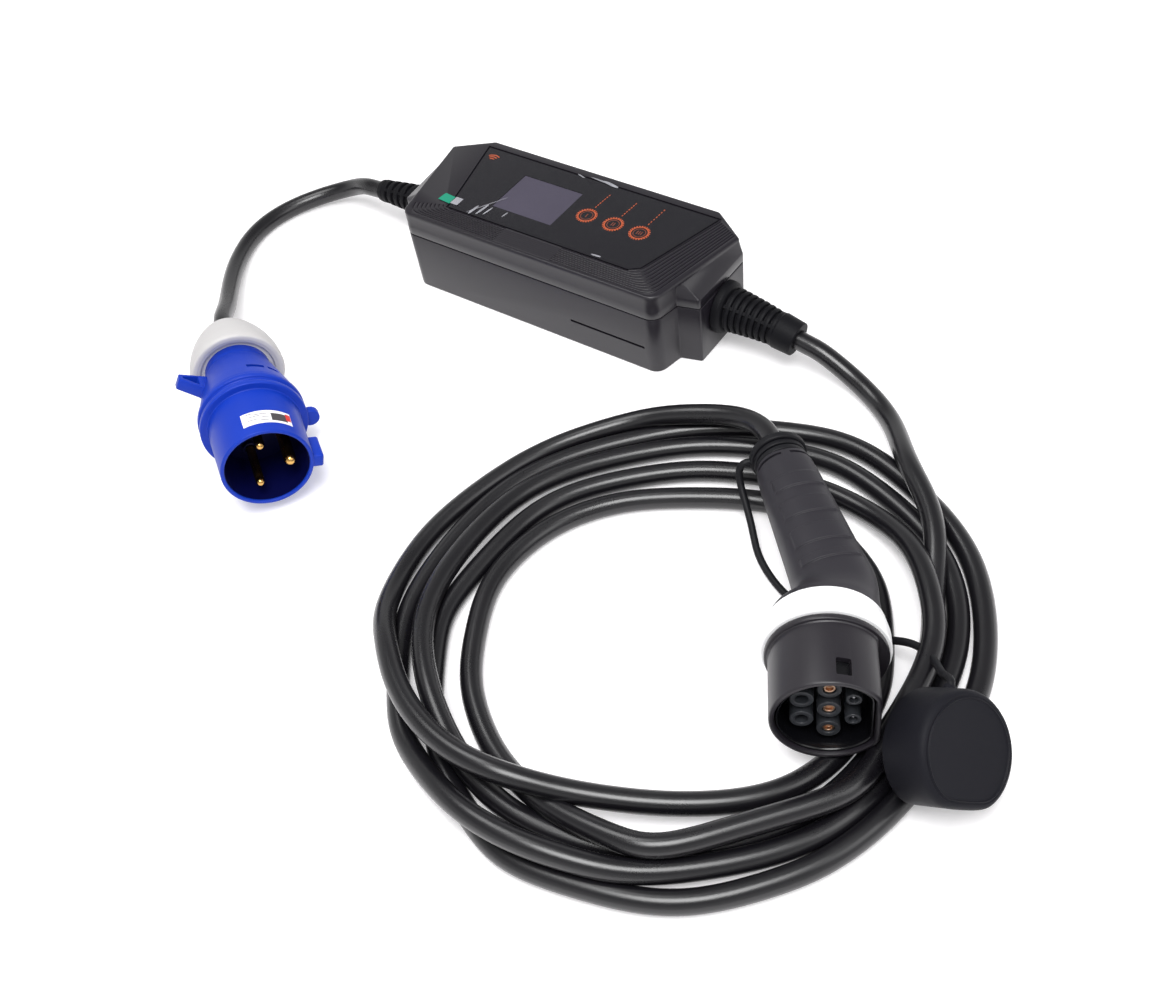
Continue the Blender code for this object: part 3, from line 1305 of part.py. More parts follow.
STRAP_POINTS = (
    (0.2165, -0.1240, 0.0330), (0.2190, -0.1275, 0.0270), (0.2245, -0.1335, 0.0205),
    (0.2330, -0.1415, 0.0150), (0.2410, -0.1500, 0.0105), (0.2500, -0.1600, 0.0065),
    (0.2630, -0.1690, 0.0040), (0.2784, -0.1766, 0.0032), (0.2970, -0.1810, 0.0032),
    (0.3130, -0.1805, 0.0060), (0.3240, -0.1785, 0.0125), (0.3330, -0.1765, 0.0180),
    (0.3440, -0.1770, 0.0190), (0.3560, -0.1815, 0.0200), (0.3680, -0.1885, 0.0245),
    (0.3800, -0.1955, 0.0300), (0.3900, -0.2020, 0.0345))
INPUT_POINTS = (
    (-0.2250, -0.0035, 0.0175), (-0.2400, -0.0130, 0.0120), (-0.2590, -0.0310, 0.0078),
    (-0.2690, -0.0560, 0.0070), (-0.2655, -0.0850, 0.0070), (-0.2520, -0.1130, 0.0090),
    (-0.2340, -0.1360, 0.0150), (-0.2130, -0.1520, 0.0230))
LEAD_POINTS = (
    (0.2200, -0.0010, 0.0150), (0.2350, -0.0050, 0.0118), (0.2500, -0.0110, 0.0086),
    (0.2639, -0.0200, 0.0074), (0.2760, -0.0310, 0.0100), (0.2860, -0.0440, 0.0155),
    (0.2930, -0.0540, 0.0190), (0.3000, -0.0650, 0.0209), (0.3080, -0.0760, 0.0209))
TAIL_POINTS = (
    (0.2125, -0.0890, 0.0345), (0.2000, -0.0850, 0.0312), (0.1850, -0.0845, 0.0268),
    (0.1700, -0.0880, 0.0232), (0.1542, -0.0947, 0.0209))


def make_coil():
    """One closed ring stands for the turns that lie on the floor, with the off-centre eye they leave."""
    edge = COIL_HEIGHT / 2
    outside = []
    for step in range(5):
        angle = math.pi / 2 - math.pi * step / 4
        outside.append((COIL_OUTER_RADIUS - edge + edge * math.cos(angle), edge + edge * math.sin(angle)))
    profile = [(0.0, COIL_HEIGHT)] + outside + [(0.0, 0.0)]
    coil = turned("output_coil", profile, cable_jacket(), Matrix.Translation(COIL_CENTRE), steps=COIL_SIDES)
    eye_centre = COIL_CENTRE + COIL_HOLE_OFFSET + Vector((0, 0, edge))
    eye_radius = COIL_OUTER_RADIUS - COIL_BAND_WIDTH
    eye = cylinder("coil_eye", eye_centre, eye_radius, 0.05, cutter=True, sides=COIL_SIDES)
    combine(coil, [eye])


def straight_start(start, direction, reach=0.008):
    """The first points of a cord, which leaves its seat along the seat's axis."""
    return [start, start + direction * reach, start + direction * reach * 2]


def make_cables(output_end, input_end, plug_place, nut_back, entry, boot_end):
    gap = CLEARANCE + 0.0001
    input_tip, input_direction = input_end
    output_tip, output_direction = output_end
    plug_back = -(plug_place.to_3x3() @ Vector((0.0, 0.0, 1.0)))
    plug_end = plug_place @ Vector((0.0, 0.0, nut_back))
    route = straight_start(input_tip + input_direction * gap, input_direction) + list(INPUT_POINTS)
    route += list(reversed(straight_start(plug_end + plug_back * gap, plug_back)))
    tube("input_cable", route, CABLE_RADIUS, cable_jacket(), samples=30)
    route = straight_start(output_tip + output_direction * gap, output_direction) + list(LEAD_POINTS)
    tube("output_lead", route, CABLE_RADIUS, cable_jacket(), samples=17)
    boot_direction = entry.to_3x3() @ Vector((0.0, 0.0, 1.0))
    tail_start = entry @ Vector((0.0, 0.0, boot_end + gap))
    route = straight_start(tail_start, boot_direction, reach=0.003) + list(TAIL_POINTS)
    tube("output_tail", route, CABLE_RADIUS, cable_jacket(), samples=10)


def make_strap(entry, cap_place):
    """Strap from the left of the tether's ring, under the neck, to the side of the cap."""
    gap = CLEARANCE + 0.0001
    groove = boot_stations()[2]
    ring_radius = BOOT_RADIUS - 0.0028 + TETHER_RING_THICKNESS
    ring_middle = entry @ Vector((0.0, 0.0, groove + CLEARANCE + TETHER_RING_WIDTH / 2))
    boot_direction = entry.to_3x3() @ Vector((0.0, 0.0, 1.0))
    aside = Vector((-boot_direction.y, boot_direction.x, 0.0)).normalized()
    strap_start = ring_middle + aside * (ring_radius + gap)
    seat_ray = Vector((math.cos(STRAP_SEAT_ANGLE), math.sin(STRAP_SEAT_ANGLE), 0.0))
    outwards = (cap_place.to_3x3() @ seat_ray).normalized()
    strap_end = cap_place @ (seat_ray * (CAP_RADIUS + gap) + Vector((0.0, 0.0, -STRAP_SEAT_DEPTH)))
    route = [strap_start, strap_start + aside * 0.004] + list(STRAP_POINTS)
    route += [strap_end + outwards * 0.005, strap_end]
    tube("cap_strap", route, TETHER_RADIUS, soft_black(), samples=38)


def main():
    clear_scene()
    make_lower_case()
    make_gasket()
    make_upper_cover()
    make_face()
    make_screws()
    make_electronics()
    output_end = make_relief(
        "output_strain_relief", 1, OUTPUT_RELIEF_RADII, OUTPUT_RIBS, OUTPUT_COLLAR_RADIUS, 0.0150,
        OUTPUT_DROOP, OUTPUT_YAW)
    input_end = make_relief(
        "input_strain_relief", -1, INPUT_RELIEF_RADII, INPUT_RIBS, INPUT_RELIEF_RADII[2], 0.0050,
        INPUT_DROOP, INPUT_YAW)
    plug_place, body_back = make_plug()
    nose_place, collar_back = make_nose()
    entry, boot_end = make_handle(nose_place, collar_back)
    cap_place = make_cap()
    make_coil()
    make_cables(output_end, input_end, plug_place, body_back + NUT_OVERLAP - NUT_LENGTH, entry, boot_end)
    make_strap(entry, cap_place)


main()
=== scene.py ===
"""Looks of a portable charging lead for an electric car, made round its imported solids.

Metres, +Z up. The origin is the middle of the control box's footprint, on the floor. +X runs
along the box towards the output lead and +Y to its back.
"""
import math

import bmesh
import bpy
import numpy as np
from mathutils import Matrix, Vector


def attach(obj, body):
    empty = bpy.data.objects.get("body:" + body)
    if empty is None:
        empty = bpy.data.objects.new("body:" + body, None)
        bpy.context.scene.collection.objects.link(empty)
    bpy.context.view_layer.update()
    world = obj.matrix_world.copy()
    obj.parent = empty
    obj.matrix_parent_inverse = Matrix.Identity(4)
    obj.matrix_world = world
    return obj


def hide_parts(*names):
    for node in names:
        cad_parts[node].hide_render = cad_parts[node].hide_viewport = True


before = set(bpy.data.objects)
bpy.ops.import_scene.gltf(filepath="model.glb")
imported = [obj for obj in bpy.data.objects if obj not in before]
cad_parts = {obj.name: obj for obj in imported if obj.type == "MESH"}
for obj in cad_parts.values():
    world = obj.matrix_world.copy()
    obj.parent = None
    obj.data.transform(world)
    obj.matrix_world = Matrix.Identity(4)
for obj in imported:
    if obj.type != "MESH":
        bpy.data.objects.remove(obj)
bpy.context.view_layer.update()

CABLE_DIAMETER = 0.0135
CABLE_RADIUS = CABLE_DIAMETER / 2


# Shader maths

class Wire:
    """A shader socket that adds a Math node when it is used in arithmetic."""

    def __init__(self, finish, socket):
        self.finish = finish
        self.socket = socket

    def maths(self, operation, *values, clamp=False):
        settings = {"operation": operation, "use_clamp": clamp}
        return self.finish.node("Math", settings, dict(enumerate(values)))

    def __add__(self, other):
        return self.maths('ADD', self, other)

    def __sub__(self, other):
        return self.maths('SUBTRACT', self, other)

    def __rsub__(self, other):
        return self.maths('SUBTRACT', other, self)

    def __mul__(self, other):
        return self.maths('MULTIPLY', self, other)

    def __truediv__(self, other):
        return self.maths('DIVIDE', self, other)

    def __gt__(self, other):
        return self.maths('GREATER_THAN', self, other)

    __radd__ = __add__
    __rmul__ = __mul__


class Finish:
    """One material: its surface shader, and the nodes that feed it."""

    def __init__(self, name, colour, roughness, **surface):
        self.material = bpy.data.materials.new(name)
        self.material.use_nodes = True
        self.nodes = self.material.node_tree.nodes
        self.links = self.material.node_tree.links
        self.surface = self.nodes["Principled BSDF"]
        self.feed(self.surface.inputs["Base Color"], (*colour, 1.0))
        self.feed(self.surface.inputs["Roughness"], roughness)
        for socket, value in surface.items():
            self.set(socket.replace("_", " "), value)

    def set(self, socket, value):
        self.feed(self.surface.inputs[socket], value)

    def feed(self, target, value):
        if isinstance(value, Wire):
            self.links.new(value.socket, target)
        else:
            target.default_value = value

    def node(self, kind, settings=None, sockets=None, output=0):
        """Add a node, set it up, feed its sockets and give back one of its outputs."""
        made = self.nodes.new("ShaderNode" + kind)
        for key, value in (settings or {}).items():
            setattr(made, key, value)
        for key, value in (sockets or {}).items():
            self.feed(made.inputs[key], value)
        return Wire(self, made.outputs[output])

    def place(self):
        """Object coordinates, which hold still on the piece."""
        return self.node("TexCoord", output=3)

    def noise(self, scale, detail=2.0, rough=0.5):
        sockets = {"Vector": self.place(), "Scale": scale, "Detail": detail, "Roughness": rough}
        return self.node("TexNoise", {"noise_dimensions": '3D'}, sockets)

    def mix(self, share, first, second):
        """A colour between two colours."""
        return self.node("Mix", {"data_type": 'RGBA'}, {0: share, 6: first, 7: second}, output=2)

    def bump(self, height, strength, distance):
        sockets = {"Height": height, "Strength": strength, "Distance": distance}
        self.set("Normal", self.node("Bump", {}, sockets))


def shade(rgb):
    """Linear colour of an sRGB colour given as 0 to 255."""
    return tuple(((c / 255 + 0.055) / 1.055) ** 2.4 if c > 10 else c / 255 / 12.92 for c in rgb)


def moulded(name, rgb, roughness, grain=900.0, depth=0.00004, strength=0.25, spread=0.06, **surface):
    """Moulded plastic: a fine grain, and a slow change of colour and gloss where hands have rubbed it."""
    finish = Finish(name, shade(rgb), roughness, **surface)
    slow = finish.noise(22.0, 3.0, 0.6)
    fine = finish.noise(grain, 2.0, 0.5)
    dark = tuple(c * (1.0 - 2 * spread) for c in shade(rgb)) + (1.0,)
    pale = tuple(min(c * (1.0 + 2 * spread), 1.0) for c in shade(rgb)) + (1.0,)
    finish.set("Base Color", finish.mix(slow, dark, pale))
    finish.set("Roughness", roughness + (slow - 0.5) * (roughness * 0.35) + (fine - 0.5) * 0.05)
    finish.bump(fine, strength, depth)
    return finish.material


def polished_metal(name, rgb, roughness):
    """Turned metal with faint tool marks and a duller, darker patch here and there."""
    finish = Finish(name, shade(rgb), roughness, Metallic=1.0)
    slow = finish.noise(160.0, 3.0, 0.6)
    fine = finish.noise(2600.0, 2.0, 0.6)
    dark = tuple(c * 0.62 for c in shade(rgb)) + (1.0,)
    finish.set("Base Color", finish.mix(slow, dark, (*shade(rgb), 1.0)))
    finish.set("Roughness", roughness + (slow - 0.5) * 0.16)
    finish.bump(fine, 0.15, 0.00002)
    return finish.material


def clear_sheet(name, rgb, roughness, alpha, streaks=0.0):
    """Thin clear film: a little haze, which gathers along slow ripples in the sheet. In a pale colour it is a painted
    highlight.
    """
    finish = Finish(name, shade(rgb), roughness, Specular_IOR_Level=0.5)
    slow = finish.noise(60.0, 2.0, 0.5)
    finish.set("Alpha", alpha + (slow - 0.5) * streaks)
    finish.bump(slow, 0.15, 0.0002)
    return finish.material


CASE_BLACK = moulded(
    "case_black", (25, 22, 29), 0.33, grain=1500.0, depth=0.00003, strength=0.20, Specular_IOR_Level=0.50)
PANEL_BLACK = moulded(
    "panel_black", (22, 21, 26), 0.24, grain=500.0, depth=0.00001, strength=0.08, Specular_IOR_Level=0.42)
SOFT_BLACK = moulded(
    "soft_black", (17, 17, 21), 0.52, grain=1900.0, depth=0.00005, strength=0.35, Specular_IOR_Level=0.22)
RELIEF_BLACK = moulded(
    "relief_black", (13, 13, 17), 0.56, grain=1900.0, depth=0.00005, strength=0.35, Specular_IOR_Level=0.14)
GRIP_BLACK = moulded(
    "grip_black", (36, 34, 40), 0.52, grain=1700.0, depth=0.00006, strength=0.40, Specular_IOR_Level=0.34)
NOSE_BLACK = moulded(
    "nose_black", (27, 24, 30), 0.40, grain=1500.0, depth=0.00004, strength=0.30, Specular_IOR_Level=0.50)
INSERT_BLACK = moulded(
    "insert_black", (9, 9, 12), 0.24, grain=1200.0, depth=0.00002, strength=0.12, Specular_IOR_Level=0.40)
TOWER_GREY = moulded(
    "tower_grey", (46, 48, 52), 0.34, grain=1500.0, depth=0.00002, strength=0.15, Specular_IOR_Level=0.40)
CAP_BLACK = moulded(
    "cap_black", (20, 20, 26), 0.58, grain=2300.0, depth=0.00006, strength=0.40, Specular_IOR_Level=0.13)
JACKET_BLACK = moulded(
    "jacket_black", (15, 14, 18), 0.29, grain=700.0, depth=0.00005, strength=0.22, Specular_IOR_Level=0.62)
PLUG_BLUE = moulded(
    "plug_blue", (14, 52, 166), 0.44, grain=1300.0, depth=0.00003, strength=0.20, Specular_IOR_Level=0.22)
# Deep navy for inside the plug's well: painted shade, since the well is the same blue plastic as the shroud
WELL_SHADE_BLUE = moulded(
    "well_painted_shade", (3, 6, 58), 0.40, grain=1300.0, depth=0.00003, strength=0.20, Specular_IOR_Level=0.30)
NUT_GREY = moulded(
    "nut_grey", (190, 188, 188), 0.46, grain=1100.0, depth=0.00004, strength=0.25, spread=0.02, Specular_IOR_Level=0.30)
COLLAR_WHITE = moulded(
    "collar_white", (248, 248, 249), 0.30, grain=900.0, depth=0.00002, strength=0.12, spread=0.01)
LABEL_WHITE = moulded(
    "label_white", (240, 240, 242), 0.38, grain=700.0, depth=0.00001, strength=0.10, spread=0.01)
LABEL_GREY = moulded("label_grey", (120, 118, 124), 0.40, grain=700.0, depth=0.00001, strength=0.10)
LABEL_DARK = moulded("label_dark", (58, 54, 58), 0.40, grain=700.0, depth=0.00001, strength=0.10, spread=0.12)
LABEL_RED = moulded("label_red", (205, 40, 36), 0.40, grain=700.0, depth=0.00001, strength=0.10)
MARK_ORANGE = moulded("mark_orange", (176, 78, 40), 0.40, grain=900.0, depth=0.00001, strength=0.10)
MARK_BROWN = moulded("mark_brown", (112, 52, 34), 0.42, grain=900.0, depth=0.00001, strength=0.10)
TAB_GREEN = moulded("tab_green", (10, 132, 104), 0.34, grain=700.0, depth=0.00001, strength=0.10)
GLASS_GREY = moulded(
    "display_glass", (70, 66, 80), 0.16, grain=400.0, depth=0.00001, strength=0.04, Specular_IOR_Level=0.4)
BRASS = polished_metal("pin_brass", (226, 178, 104), 0.20)
COPPER = polished_metal("contact_copper", (226, 186, 156), 0.34)
STEEL = polished_metal("bright_steel", (190, 190, 194), 0.28)
BOARD_GREEN = moulded("board_green", (18, 88, 48), 0.42)
RELAY_BLUE = moulded("relay_blue", (40, 84, 140), 0.45)
CLEAR_FILM = clear_sheet("clear_film", (60, 60, 66), 0.30, 0.02)
# Pale, part-clear film for the fold glints: a painted highlight
FILM_GLINT = clear_sheet("film_glint", (206, 206, 214), 0.25, 0.26, streaks=0.5)

NODE_FINISHES = {
    "case_gasket": SOFT_BLACK, "face_panel": PANEL_BLACK, "display_module": GLASS_GREY,
    "protective_film": CLEAR_FILM, "film_pull_tab": TAB_GREEN, "plug_gland_seal": SOFT_BLACK,
    # The pin carrier deep in the well takes the same painted shade
    "plug_pin_carrier": WELL_SHADE_BLUE, "main_board": BOARD_GREEN, "display_board": BOARD_GREEN,
    "line_relay": RELAY_BLUE, "neutral_relay": RELAY_BLUE, "power_supply": SOFT_BLACK,
    "supply_capacitor": SOFT_BLACK, "current_sensor": SOFT_BLACK, "buzzer": SOFT_BLACK,
    "input_terminal_block": NUT_GREY,
}


def paint(obj, material):
    obj.data.materials.clear()
    obj.data.materials.append(material)
    return obj


for node_name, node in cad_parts.items():
    if node_name in NODE_FINISHES:
        paint(node, NODE_FINISHES[node_name])
    elif node_name.startswith(("cover_screw", "touch_spring")):
        paint(node, STEEL)


# Helpers for new pieces

def close_up(bm):
    """Merge doubles, then make the faces agree and point outwards."""
    bmesh.ops.remove_doubles(bm, verts=bm.verts, dist=0.000001)
    bmesh.ops.recalc_face_normals(bm, faces=bm.faces)
    if bm.calc_volume(signed=True) < 0.0:
        bmesh.ops.reverse_faces(bm, faces=bm.faces)
    return bm


def piece(name, bm, material, angle=32.0, nodes=()):
    """Turn a bmesh into a finished piece that rides on the part and stands for some nodes."""
    mesh = bpy.data.meshes.new(name)
    bm.to_mesh(mesh)
    bm.free()
    mesh.shade_smooth()
    mesh.set_sharp_from_angle(angle=math.radians(angle))
    obj = bpy.data.objects.new(name, mesh)
    bpy.context.scene.collection.objects.link(obj)
    paint(obj, material)
    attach(obj, "root")
    if nodes:
        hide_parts(*nodes)
    return obj


def frame_matrix(origin, axis, right):
    """A placement with local +Z on axis and local +X as near to right as it can be."""
    z_axis = axis.normalized()
    x_axis = (right - right.dot(z_axis) * z_axis).normalized()
    rotation = Matrix((x_axis, z_axis.cross(x_axis), z_axis)).transposed()
    return Matrix.Translation(origin) @ rotation.to_4x4()


def fillet(points, radius, steps=4, closed=False):
    """Round a profile: each corner is swapped for a short curve from side to side."""
    rounded = []
    count = len(points)
    for i, point in enumerate(points):
        here = Vector(point)
        if not closed and i in (0, count - 1):
            rounded.append(tuple(here))
            continue
        to_before = Vector(points[i - 1]) - here
        to_after = Vector(points[(i + 1) % count]) - here
        start = here + to_before.normalized() * min(radius, to_before.length * 0.45)
        end = here + to_after.normalized() * min(radius, to_after.length * 0.45)
        for step in range(steps + 1):
            t = step / steps
            rounded.append(tuple(start * (1 - t) ** 2 + here * (2 * t * (1 - t)) + end * t ** 2))
    return rounded


def turned(profile, place=None, sides=96, closed=True):
    """Spin a half section of (radius, height) points about local Z, then set it in its place."""
    bm = bmesh.new()
    points = [bm.verts.new((radius, 0.0, height)) for radius, height in profile]
    pairs = list(zip(points, points[1:]))
    if closed:
        pairs.append((points[-1], points[0]))
    edges = [bm.edges.new(pair) for pair in pairs]
    bmesh.ops.spin(
        bm, geom=points + edges, cent=(0, 0, 0), axis=(0, 0, 1), dvec=(0, 0, 0), angle=2 * math.pi, steps=sides,
        use_merge=True, use_duplicate=False)
    close_up(bm)
    if place:
        bmesh.ops.transform(bm, matrix=place, verts=bm.verts)
    return bm


def stacked(rings, place=None):
    """Skin a row of equal rings: a loop of edges is extruded to each next ring, and the ends are filled."""
    bm = bmesh.new()
    loop = [bm.verts.new(point) for point in rings[0]]
    edges = [bm.edges.new(pair) for pair in zip(loop, loop[1:] + loop[:1])]
    bmesh.ops.edgeloop_fill(bm, edges=edges)
    for ring in rings[1:]:
        made = bmesh.ops.extrude_edge_only(bm, edges=edges)["geom"]
        fresh = {item for item in made if isinstance(item, bmesh.types.BMVert)}
        loop = [next(e.other_vert(v) for e in v.link_edges if e.other_vert(v) in fresh) for v in loop]
        edges = [e for e in made if isinstance(e, bmesh.types.BMEdge) and fresh.issuperset(e.verts)]
        for vert, point in zip(loop, ring):
            vert.co = point
    bmesh.ops.edgeloop_fill(bm, edges=edges)
    close_up(bm)
    if place:
        bmesh.ops.transform(bm, matrix=place, verts=bm.verts)
    return bm


def block(centre, size, place=None, bevel=0.0):
    """A box with rounded edges."""
    bm = bmesh.new()
    bmesh.ops.create_cube(bm, size=1.0)
    bmesh.ops.scale(bm, vec=Vector(size), verts=bm.verts)
    bmesh.ops.translate(bm, vec=Vector(centre), verts=bm.verts)
    if bevel:
        bmesh.ops.bevel(
            bm, geom=bm.edges[:], offset=bevel, affect='EDGES', segments=3, profile=0.5, material=-1,
            clamp_overlap=True)
    if place:
        bmesh.ops.transform(bm, matrix=place, verts=bm.verts)
    return bm


def drum(centre, radius, depth, place=None, sides=48, bevel=0.0):
    """A short round bar on local Z with rounded rims."""
    low = centre[2] - depth / 2
    high = centre[2] + depth / 2
    profile = fillet([(0.0, low), (radius, low), (radius, high), (0.0, high)], bevel or 0.00001)
    shift = Matrix.Translation((centre[0], centre[1], 0.0))
    return turned(profile, (place or Matrix()) @ shift, sides, closed=False)


def joined(first, *others):
    """Add the bodies of other bmeshes to the first."""
    for other in others:
        mesh = bpy.data.meshes.new("spare")
        other.to_mesh(mesh)
        other.free()
        first.from_mesh(mesh)
        bpy.data.meshes.remove(mesh)
    return first


def stand_in(bm):
    """A short-lived object that holds a bmesh for a Boolean."""
    mesh = bpy.data.meshes.new("spare")
    bm.to_mesh(mesh)
    bm.free()
    obj = bpy.data.objects.new("spare", mesh)
    bpy.context.scene.collection.objects.link(obj)
    return obj


def carved(bm, *cutters):
    """Cut closed bodies out of another, exactly."""
    body = stand_in(bm)
    tools = [stand_in(cutter) for cutter in cutters]
    for tool in tools:
        step = body.modifiers.new("cut", 'BOOLEAN')
        step.operation = 'DIFFERENCE'
        step.solver = 'EXACT'
        step.object = tool
    bpy.context.view_layer.update()
    evaluated = body.evaluated_get(bpy.context.evaluated_depsgraph_get())
    mesh = bpy.data.meshes.new_from_object(evaluated)
    result = bmesh.new()
    result.from_mesh(mesh)
    bpy.data.meshes.remove(mesh)
    for obj in [body] + tools:
        spare = obj.data
        bpy.data.objects.remove(obj)
        bpy.data.meshes.remove(spare)
    return result


def smoothstep(value):
    value = min(max(value, 0.0), 1.0)
    return value * value * (3.0 - 2.0 * value)


def spin_place(degrees):
    return Matrix.Rotation(math.radians(degrees), 4, 'Z')


# The connector's place, and the line of its handle behind the collar
FACE_CENTRE = Vector((0.3542, -0.2663, 0.0470))
NOSE_AXIS = Vector((0.500, -0.861, 0.090))
NOSE_PLACE = frame_matrix(FACE_CENTRE, NOSE_AXIS, Vector((-NOSE_AXIS.y, NOSE_AXIS.x, 0.0)))
COLLAR_BACK = -0.0643
GRIP_TURN = math.radians(15.6)
GRIP_LIFT = math.radians(1.8)
GRIP_ASIDE = 0.0133
GRIP_RAISE = 0.0031
GRIP_BLEND = 0.030
HANDLE_LENGTH = 0.122
BOOT_LENGTH = 0.0229


def grip_place(distance):
    """Middle of the grip and its direction at a distance behind the collar, in the nose's own axes."""
    share = smoothstep(distance / GRIP_BLEND)
    aside = share * (GRIP_ASIDE - distance * math.tan(GRIP_TURN))
    raised = share * (GRIP_RAISE + distance * math.tan(GRIP_LIFT))
    direction = Vector((-math.tan(GRIP_TURN * share), math.tan(GRIP_LIFT * share), -1.0))
    return Vector((aside, raised, COLLAR_BACK - distance)), direction.normalized()


GRIP_END, GRIP_END_DIRECTION = grip_place(HANDLE_LENGTH)
ENTRY_PLACE = NOSE_PLACE @ frame_matrix(GRIP_END, GRIP_END_DIRECTION, Vector((1.0, 0.0, 0.0)))


# Camera

def make_camera():
    data = bpy.data.cameras.new("camera")
    camera = bpy.data.objects.new("camera", data)
    bpy.context.scene.collection.objects.link(camera)
    data.sensor_width = 36.0
    data.lens = 1350.0 / 1167.0 * 36.0
    right = Vector((0.815, 0.5694, -0.1124)).normalized()
    forward = Vector((-0.451, 0.5013, -0.7387))
    forward = (forward - forward.dot(right) * right).normalized()
    up = right.cross(forward)
    rotation = Matrix((right, up, -forward)).transposed().to_4x4()
    camera.matrix_world = Matrix.Translation((0.5209, -0.6072, 0.6478)) @ rotation
    bpy.context.scene.camera = camera


make_camera()


# Cords

def smooth_route(points, step):
    """Even samples of a Catmull-Rom curve through the points."""
    knots = np.array([tuple(p) for p in points], float)
    knots = np.vstack([2 * knots[0] - knots[1], knots, 2 * knots[-1] - knots[-2]])
    t = np.linspace(0.0, 1.0, 24, endpoint=False)[:, None]
    spans = []
    for a, b, c, d in zip(knots, knots[1:], knots[2:], knots[3:]):
        spans.append(0.5 * (2 * b + (c - a) * t + (2 * a - 5 * b + 4 * c - d) * t ** 2
                            + (3 * b - a - 3 * c + d) * t ** 3))
    dense = np.vstack(spans + [knots[-2:-1]])
    return resample(dense, step)


def resample(route, step):
    """The same line with points at even steps."""
    lengths = np.concatenate([[0.0], np.cumsum(np.linalg.norm(np.diff(route, axis=0), axis=1))])
    count = max(int(round(lengths[-1] / step)), 2)
    stops = np.linspace(0.0, lengths[-1], count + 1)
    return np.column_stack([np.interp(stops, lengths, route[:, axis]) for axis in range(3)])


def push_out(route, starts, ends, radii):
    """Move points out of rounded bars, given by their two ends and their radius."""
    for a, b, radius in zip(starts, ends, radii):
        along = b - a
        share = np.clip(((route - a) @ along) / (along @ along), 0.0, 1.0)
        gap = route - (a + share[:, None] * along)
        distance = np.linalg.norm(gap, axis=1)
        short = np.maximum(radius - distance, 0.0)
        route += gap / np.maximum(distance, 1e-6)[:, None] * short[:, None] * 0.6


def stiff_shift(count, held, stiffness):
    """A matrix that smooths a row of shifts as a stiff cable would, with some points held at each end."""
    bend = np.zeros((count - 2, count))
    rows = np.arange(count - 2)
    bend[rows, rows] = 1.0
    bend[rows, rows + 1] = -2.0
    bend[rows, rows + 2] = 1.0
    hold = np.ones(count)
    hold[:held[0]] = 1e6
    hold[-held[1]:] = 1e6
    return np.linalg.inv(np.diag(hold) + stiffness * bend.T @ bend) * hold


LAY_STEP = 0.006
LAY_ROUNDS = 170
LAY_STIFFNESS = 520.0
LAY_SMOOTHING = 12.0
NEIGHBOUR_STEPS = 7


def settle(route, radius, bars, held):
    """Let a cable's turns sink on the floor and on each other, near the line they were laid on."""
    count = len(route)
    index = np.arange(count)
    spread = stiff_shift(count, held, LAY_STIFFNESS)
    home = stiff_shift(count, held, LAY_SMOOTHING) @ route
    route = home.copy()
    diameter = radius * 2
    free = np.ones(count)
    free[:held[0]] = 0.0
    free[-held[1]:] = 0.0
    for turn in range(LAY_ROUNDS):
        if turn % 16 == 0:
            gaps = np.linalg.norm(route[:, None, :] - route[None, :, :], axis=2)
            later = index[None, :] - index[:, None] > NEIGHBOUR_STEPS
            first, second = np.nonzero((gaps < diameter * 2.0) & later)
        sink = 0.0010 * (1.0 - turn / LAY_ROUNDS) ** 2 + 0.00003
        delta = route[second] - route[first]
        distance = np.linalg.norm(delta, axis=1)
        short = np.maximum(diameter - distance, 0.0)
        move = delta / np.maximum(distance, 1e-6)[:, None] * (short * 0.5)[:, None]
        push = np.zeros_like(route)
        weight = np.zeros(count)
        np.add.at(push, first, -move)
        np.add.at(push, second, move)
        np.add.at(weight, first, (short > 0) * 1.0)
        np.add.at(weight, second, (short > 0) * 1.0)
        push /= np.maximum(weight, 1.0)[:, None]
        moved = route + push * 2.4
        moved[:, 2] -= sink
        push_out(moved, *bars)
        moved[:, 2] = np.maximum(moved[:, 2], radius)
        shift = moved - home
        shift[:, :2] *= 0.96
        route = home + spread @ (shift * free[:, None])
    middle = slice(held[0], -held[1])
    route[middle, 2] = np.maximum(route[middle, 2], radius)
    return route


def cord_curve(name, route, radius, material, resolution=6):
    """A round cord on one open spline."""
    curve = bpy.data.curves.new(name, 'CURVE')
    curve.dimensions = '3D'
    curve.bevel_depth = radius
    curve.bevel_resolution = resolution
    curve.use_fill_caps = True
    spline = curve.splines.new('POLY')
    spline.points.add(len(route) - 1)
    for target, point in zip(spline.points, route):
        target.co = (*point, 1.0)
    spline.use_smooth = True
    obj = bpy.data.objects.new(name, curve)
    bpy.context.scene.collection.objects.link(obj)
    paint(obj, material)
    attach(obj, "root")
    return obj


# Each pass of the output cable round its coil, clockwise from above: angle, radius and height in
# degrees and millimetres about the coil's middle. Angles run on from one pass to the next.
COIL_CENTRE = Vector((0.2325, -0.2250, 0.0))
LEAD_PASS = (
    (91, 225, 12), (81, 209, 8), (68, 177, 20), (56, 166, 20.5), (46, 157, 19), (36, 148, 11), (15, 144, 6.8),
    (-25, 147, 6.8), (-60, 150, 6.8), (-95, 152, 6.8), (-125, 150, 16), (-155, 147, 15), (-195, 141, 13),
    (-235, 136.8, 10), (-265, 146, 8))
BACK_PASS = (
    (75, 154, 6.8), (45, 160, 6.8), (15, 157.6, 6.8), (-25, 160, 6.8), (-60, 163, 10), (-80, 169, 18),
    (-95, 172, 19), (-108, 171, 13), (-118, 170.5, 7), (-125, 170, 6.8), (-155, 161, 6.8), (-195, 153, 6.8),
    (-235, 151.4, 6.8), (-265, 165, 6.8))
